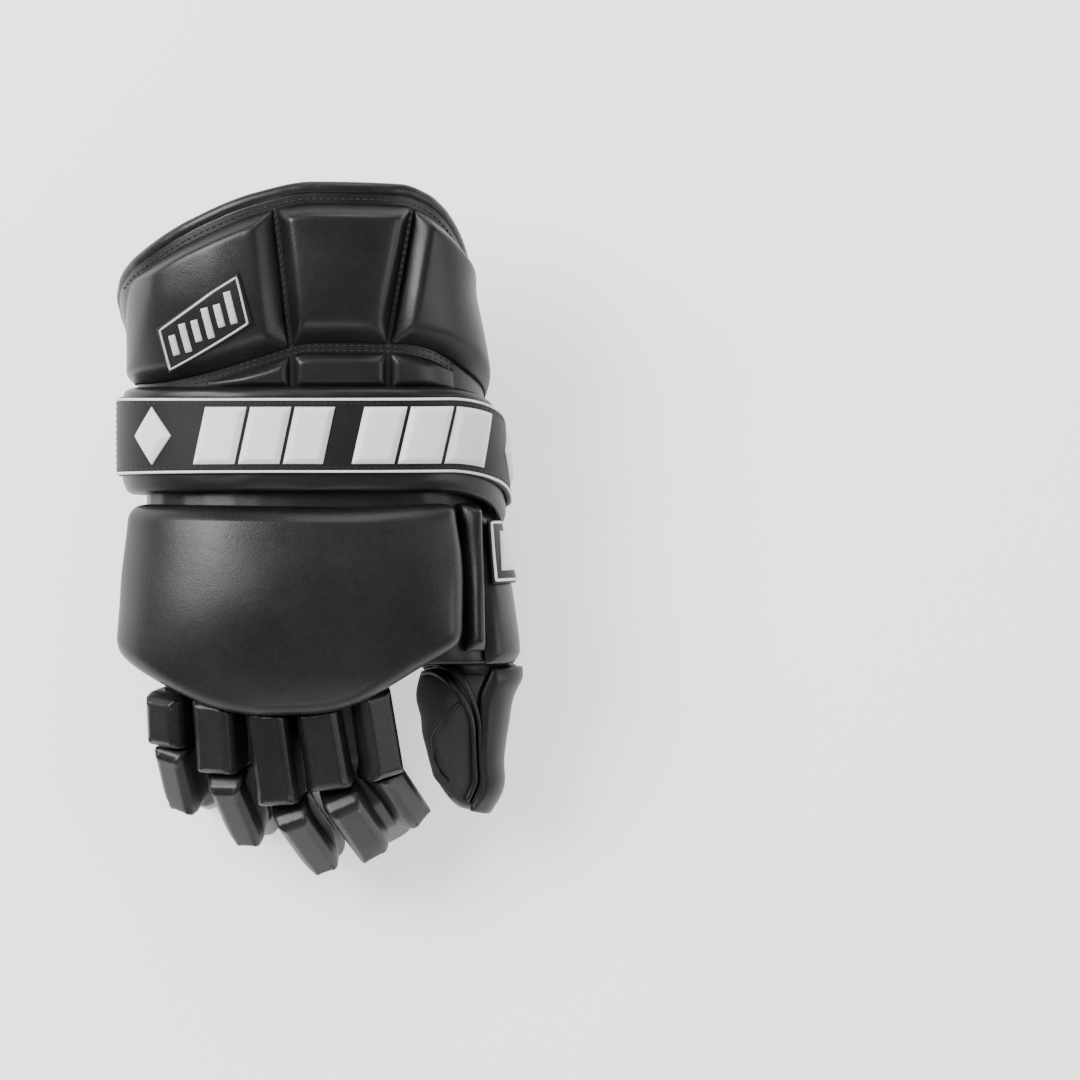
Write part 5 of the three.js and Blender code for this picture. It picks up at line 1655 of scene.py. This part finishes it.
@dataclass
class HandPads:
    """The pad over the back of the hand and the roll beside it.

    Attributes:
        shop: Where its finishes come from.
        start: Where the pad starts, along.
        length: Length of the pad.
        pinky: Its reach to the little finger.
        thumb: Its reach to the thumb.
        height: Height of the pad at its edge.
        crown: How much higher its middle is.
        middle: Where its middle is, across, and along as a share of its length.
        sides: Points round the pad.
        rings: Rings from its middle to its edge.
        round_edge: Width of its rounded edge.
        edge: Height of its upright edge, as a share of its height.
        dome: How far its crown reaches, across and along.
        swelling: How far it may swell when it is filled as cloth.
        cloth_face: Size of the cloth's faces.
        corners: Shares of the reach and the length, and the rounding, of each corner of the pad.
        roll_sides: Left and right side of the roll, across.
        roll_length: Length of the roll.
        roll_height: Height of the roll.
        roll_bevels: Width of the roll's slopes.
    """

    shop: Workshop
    start: float = -28.0
    length: float = 91.0
    pinky: float = 91.0
    thumb: float = 63.0
    height: float = 12.0
    crown: float = 4.0
    middle: tuple[float, float] = (-14.0, 0.45)
    sides: int = 300
    rings: int = 72
    round_edge: float = 7.5
    edge: float = 0.38
    dome: tuple[float, float] = (92.0, 58.0)
    swelling: float = 1.8
    cloth_face: float = 3.2
    corners: tuple[tuple[float, float, float], ...] = (
        (-0.93, 0, 7), (-1.0, 0.4, 15), (-1.0, 0.72, 8), (-0.4, 1.0, 20), (0.2, 0.98, 16),
        (1.0, 0.66, 6), (1.0, 0.3, 10), (0.93, 0, 5), (0.3, 0.02, 12),
    )
    roll_sides: tuple[float, float] = (65.5, 74.5)
    roll_length: float = 64.0
    roll_height: float = 8.5
    roll_bevels: tuple[float, ...] = (3.2, 3.2, 4, 4)

    def build(self) -> None:
        """Make the pieces."""
        self._backhand()
        self._side_roll()

    def _side_roll(self) -> None:
        """The narrow roll between the pad and the thumb."""
        far, near = (np.array([(side, along) for side in self.roll_sides])
                     for along in (self.start - self.roll_length, self.start))
        roll = Panel("thumb_side_tube", far, near, self.roll_height, self.roll_bevels, edge=0.35,
                     seat=0.2, step=0.9).lay(HAND)
        self.shop.dress(roll, Finishes.LEATHER, ("thumb_side_roll",))

    def outline(self, samples: int = 12) -> np.ndarray:
        """Return the pad's outline from its corners, each rounded by its own radius.

        Args:
            samples: Points on each rounded corner.

        Returns:
            The outline's points.
        """
        places = [np.array((x * (self.pinky if x < 0 else self.thumb), self.start - y * self.length))
                  for x, y, _ in self.corners]
        points = []
        for i, (_, _, radius) in enumerate(self.corners):
            here = places[i]
            back = places[i - 1] - here
            ahead = places[(i + 1) % len(places)] - here
            first = here + back / np.linalg.norm(back) * radius
            last = here + ahead / np.linalg.norm(ahead) * radius
            for t in np.linspace(0, 1, samples):
                points.append((1 - t) ** 2 * first + 2 * t * (1 - t) * here + t * t * last)
        return np.array(points)

    def _backhand(self) -> None:
        """The crowned pad, shaped on rings from its outline to its middle."""
        outline = self.outline()
        closed = np.vstack((outline, outline[:1]))
        edge = Panel.along_line(closed, np.arange(self.sides) / self.sides)
        middle = np.array((self.middle[0], self.start - self.middle[1] * self.length))
        bpy.ops.object.select_all(action="DESELECT")
        bpy.ops.mesh.primitive_circle_add(vertices=self.sides, radius=1, fill_type="NGON")
        piece = bpy.context.object
        piece.name = "backhand_cushion"
        piece.data.name = "backhand_cushion"
        bpy.ops.object.mode_set(mode="EDIT")
        bpy.ops.mesh.select_mode(type="FACE")
        bpy.ops.mesh.select_all(action="SELECT")
        for _ in range(self.rings):
            bpy.ops.mesh.inset(thickness=0.9 / self.rings)
        bpy.ops.mesh.poke()
        bpy.ops.mesh.select_mode(type="VERT")
        bpy.ops.object.mode_set(mode="OBJECT")
        finish_modifier(piece, "SOLIDIFY", thickness=0.02, offset=1)
        points = coordinates(piece)
        flat = np.hypot(points[:, 0], points[:, 1])
        turn = np.mod(np.arctan2(points[:, 1], points[:, 0]), math.tau) / math.tau
        looped = np.vstack((edge, edge[:1]))
        turns = np.arange(self.sides + 1) / self.sides
        side = np.stack([np.interp(turn, turns, looped[:, i]) for i in (0, 1)], axis=1)
        places = middle + (side - middle) * np.clip(flat, 0, 1)[:, None]
        across, along = places.T
        distance = distance_to(closed, across, along)
        face = points[:, 2] > 0.01
        round_edge = np.clip(distance / self.round_edge, 0, 1)
        rise = self.edge + (1 - self.edge) * np.sqrt(np.clip(1 - (1 - round_edge) ** 2, 0, 1))
        bow = (((places - middle) / self.dome) ** 2).sum(axis=1)
        dome = self.crown * np.clip(1 - bow, 0, 1) ** 1.5 * round_edge
        uneven = 0.2 * wobble(across, along, 34, 11) * round_edge
        top = self.height * rise + dome + uneven
        lift = np.where(face, top, 0.3)
        points = HAND.place(across, along, lift)
        move_to(piece, points)
        tidy_mesh(piece)
        swell(piece, points[~face], self.swelling, self.cloth_face)
        self.shop.dress(piece, Finishes.LEATHER, ("backhand_pad",))


@dataclass
class FingerRolls:
    """The foam rolls on the backs of the fingers.

    Attributes:
        shop: Where their finish comes from.
        names: The rows of rolls.
        voxel: Size of their faces.
        passes: How often their edges are eased.
        fill: How far their faces stand out.
        straight: Where a lower roll starts to narrow, as a share of its length.
        narrowing: How much of its width's square is gone at its end.
    """

    shop: Workshop
    names: tuple[str, ...] = ("pinky", "ring", "middle", "index", "index_side")
    voxel: float = 0.6
    passes: int = 5
    fill: float = 0.15
    straight: float = 0.55
    narrowing: float = 0.6

    def build(self) -> None:
        """Make two rolls on each finger, and two more on the index finger's side."""
        for name in self.names:
            for segment in ("upper", "lower"):
                piece = softened(f"roll_{name}_{segment}", f"finger_roll_{name}_{segment}",
                                 self.voxel, self.passes, self.fill)
                if segment == "lower":
                    self._round_end(piece)
                self.shop.dress(piece, Finishes.LEATHER, (f"roll_{name}_{segment}",))

    def _round_end(self, piece: bpy.types.Object) -> None:
        """Narrow a lower roll to a rounded end over the fingertip.

        Args:
            piece: The roll.
        """
        points = coordinates(piece)
        middle = points.mean(axis=0)
        axes = np.linalg.svd(points - middle, full_matrices=False)[2]
        if axes[0, 1] > 0:
            axes[0] = -axes[0]
        local = (points - middle) @ axes.T
        reach = local[:, 0]
        share = (reach - reach.min()) / np.ptp(reach)
        beyond = np.clip((share - self.straight) / (1 - self.straight), 0, 1)
        local[:, 1] *= np.sqrt(1 - self.narrowing * beyond ** 3)
        move_to(piece, middle + local @ axes)


@dataclass(frozen=True)
class Guard:
    """A four-sided pad on the thumb.

    Attributes:
        name: The piece's name.
        node: The node that it stands for.
        surface: What it lies on.
        across: Its left and right edges.
        along: Its near and far edges.
        bevels: Width of its slopes at the left, right, near and far edges.
        height: Its height.
        rounding: How far its far end draws back at the left and at the right.
        finish: Its finish.
    """

    name: str
    node: str
    surface: Surface
    across: tuple[float, float]
    along: tuple[float, float]
    bevels: tuple[float, float, float, float]
    height: float
    rounding: tuple[float, float] = (0.0, 0.0)
    finish: Finishes = Finishes.LEATHER

    def lay(self) -> bpy.types.Object:
        """Shape the pad and lay it.

        Returns:
            The piece.
        """
        share = np.linspace(0, 1, 16)
        place = self.across[0] + (self.across[1] - self.across[0]) * share
        low = np.stack((place, np.full(share.shape, self.along[0])), axis=1)
        drawn_back = np.where(share < 0.5, *self.rounding) * np.abs(2 * share - 1) ** 2.5
        high = np.stack((place, self.along[1] - drawn_back), axis=1)
        return Panel(self.name, low, high, self.height, self.bevels, edge=0.25, crown=0.4, seat=0.1,
                     swelling=0.25 * self.height).lay(self.surface)


@dataclass(frozen=True)
class Welt:
    """A raised cord of leather on the thumb: its name, flat line, width, lift and height."""

    name: str
    line: np.ndarray
    width: float
    lift: float
    height: float


@dataclass
class ThumbPads:
    """The thumb's guards, its lining with welts, and the badge beside it.

    Attributes:
        shop: Where its finishes come from.
        guards: The two guards and the lining.
        welt: Points of the outer welt, across and along the thumb.
        welt_gap: Distance between the two welts.
        quilting: Points of the quilted line on the lining.
        badge_sides: Left and right side of the badge, across.
        badge_ends: Its ends, along.
        badge_seat: Lift of its seat.
        badge_height: Height of its sheet.
        badge_rim: How far inside its edge its border runs.
        bar_margin: How far inside its edge its bar ends.
        bar_slant: Slant of the bar's sides.
    """

    shop: Workshop
    guards: tuple[Guard, ...] = (
        Guard("thumb_guard_near", "thumb_guard_upper", HAND,
              (75.5, 126), (-97.8, -31), (5, 16, 4, 6), 3.6),
        Guard("thumb_guard_far", "thumb_guard_lower", THUMB,
              (-4, 33), (1.2, 61), (3, 12, 4, 8), 4.2, (0, 14)),
        Guard("thumb_lining", "thumb_gusset", THUMB,
              (-46, -6), (4, 59), (3, 3, 3, 8), 1.6, (10, 0), Finishes.LINING),
    )
    welt: tuple[tuple[float, float], ...] = (
        (-40, 4.5), (-33, 3.5), (-24, 5), (-16, 9.5), (-10.5, 17), (-7, 27), (-5.5, 38), (-5.5, 46),
        (-6.5, 52), (-8, 57.5),
    )
    welt_gap: float = 3.4
    quilting: tuple[tuple[float, float], ...] = (
        (-13.5, 15), (-18, 21), (-23, 28), (-27.5, 37), (-28, 44), (-24.5, 50), (-18, 53.5),
    )
    badge_sides: tuple[float, float] = (77.5, 109.0)
    badge_ends: tuple[float, float] = (-64.0, -36.0)
    badge_seat: float = 5.2
    badge_height: float = 1.8
    badge_rim: float = 1.2
    bar_margin: float = 5.0
    bar_slant: float = 3.0

    def build(self) -> None:
        """Make the pieces."""
        for guard in self.guards:
            piece = guard.lay()
            self.shop.dress(piece, guard.finish, (guard.node,))
        self._welts()
        self._badge()

    def _welts(self) -> None:
        """Two welts where the lining meets the guard, and a quilted line on the lining."""
        outer = curve(self.welt)
        inner = outer - sideways(outer) * self.welt_gap
        for welt in (
            Welt("thumb_welt_outer", outer, 3.0, 0.6, 2.8),
            Welt("thumb_welt_inner", inner, 2.4, 0.9, 2.2),
            Welt("thumb_quilting", curve(self.quilting), 1.8, 1.4, 1.5),
        ):
            strip = piping(welt.name, THUMB, welt.line, welt.width, welt.lift, welt.height)
            self.shop.dress(strip, Finishes.BINDING)

    def _badge(self) -> None:
        """The rubber badge with its light border and a plain raised bar."""
        left, right = self.badge_sides
        low, high = self.badge_ends
        seat = self.badge_seat
        sheet = Panel("badge_sheet", np.array(((left, low), (right, low))),
                      np.array(((left, high), (right, high))), self.badge_height, (0.8,) * 4, edge=0.5,
                      seat=seat, step=0.8, unevenness=0.03)
        self.shop.dress(sheet.lay(HAND), Finishes.LABEL, ("side_badge",))
        rim = self.badge_rim
        ring = np.array(((left + rim, low + rim), (right - rim, low + rim), (right - rim, high - rim),
                         (left + rim, high - rim), (left + rim, low + rim)))
        border = piping("badge_border", HAND, ring, 1.2, seat + 1.4, 0.8, ring=True, power=0.3)
        self.shop.dress(border, Finishes.WHITE)
        near = self.bar_margin
        far = self.bar_margin + self.bar_slant
        bar = Panel("badge_bar", np.array(((left + near, low + near), (right - far, low + near))),
                    np.array(((left + far, high - near), (right - near, high - near))), 1.6, (1.6,) * 4,
                    edge=0.35, seat=seat + 1.5, softness=0.035, step=0.5, unevenness=0.0)
        self.shop.dress(bar.lay(HAND), Finishes.WHITE)


@dataclass(frozen=True)
class Lamp:
    """A soft square light: its name, its place and size in metres, and its power in watts."""

    name: str
    place: tuple[float, float, float]
    size: float
    power: float


@dataclass
class Studio:
    """The pale floor, the soft lights and the camera straight above, as in the photograph.

    Attributes:
        lamps: The lights.
        aim: What the lights point at, in metres.
        sky: Strength of the light from all round.
        floor_size: Size of the floor in metres.
        floor_tone: How pale the floor is.
        floor_glow: How much light the floor gives of its own.
        camera_place: Where the camera is from the strap's middle, in millimetres.
        scale_height: Height at which the view is as wide as view_width.
        view_width: Width of the view in millimetres.
        sensor: Width of the camera's sensor in millimetres.
    """

    lamps: tuple[Lamp, ...] = (
        Lamp("key", (-1.2, 0.65, 1.35), 1.0, 62.0),
        Lamp("back", (0.3, 1.5, 0.8), 0.9, 12.0),
        Lamp("right", (1.5, -0.1, 0.8), 0.9, 9.0),
        Lamp("front", (0.0, -1.4, 0.9), 0.9, 6.0),
    )
    aim: tuple[float, float, float] = (0, 0, 0.05)
    sky: float = 0.5
    floor_size: float = 6.0
    floor_tone: float = 0.92
    floor_glow: float = 0.9
    camera_place: tuple[float, float, float] = (97.7, -43.7, 2000.0)
    scale_height: float = 60.0
    view_width: float = 475.2
    sensor: float = 36.0

    def build(self) -> None:
        """Set up the studio."""
        self._floor()
        self._lights()
        self._camera()

    def _floor(self) -> None:
        """The plain pale floor."""
        bpy.ops.object.select_all(action="DESELECT")
        bpy.ops.mesh.primitive_plane_add(size=self.floor_size)
        floor = bpy.context.object
        floor.name = "floor"
        paper = bpy.data.materials.new("paper")
        paper.use_nodes = True
        shader = paper.node_tree.nodes["Principled BSDF"]
        shader.inputs["Base Color"].default_value = (*(self.floor_tone,) * 3, 1)
        shader.inputs["Roughness"].default_value = 0.9
        shader.inputs["Emission Color"].default_value = (1, 1, 1, 1)
        shader.inputs["Emission Strength"].default_value = self.floor_glow
        floor.data.materials.append(paper)

    def _lights(self) -> None:
        """The soft light from all round and the four lamps."""
        world = bpy.data.worlds.new("studio")
        bpy.context.scene.world = world
        world.use_nodes = True
        background = world.node_tree.nodes["Background"]
        background.inputs["Color"].default_value = (1, 1, 1, 1)
        background.inputs["Strength"].default_value = self.sky
        for lamp in self.lamps:
            light = bpy.data.lights.new(lamp.name, "AREA")
            light.size = lamp.size
            light.energy = lamp.power
            piece = bpy.data.objects.new(lamp.name, light)
            piece.location = lamp.place
            way = Vector(self.aim) - Vector(lamp.place)
            piece.rotation_euler = way.to_track_quat("-Z", "Y").to_euler()
            bpy.context.collection.objects.link(piece)

    def _camera(self) -> None:
        """The camera straight above."""
        lens = bpy.data.cameras.new("camera")
        camera = bpy.data.objects.new("camera", lens)
        bpy.context.collection.objects.link(camera)
        lens.sensor_width = self.sensor
        lens.lens = self.sensor * (self.camera_place[2] - self.scale_height) / self.view_width
        camera.location = Vector((ORIGIN + np.array(self.camera_place)) * MM)
        bpy.context.scene.camera = camera


def main() -> None:
    """Build the glove and its studio."""
    logging.basicConfig(level=logging.INFO, format="%(name)s: %(message)s")
    Studio().build()
    shop = Workshop()
    for part in (GloveBody, Cuff, WristStrap, HandPads, FingerRolls, ThumbPads):
        part(shop).build()


if __name__ == "__main__":
    main()
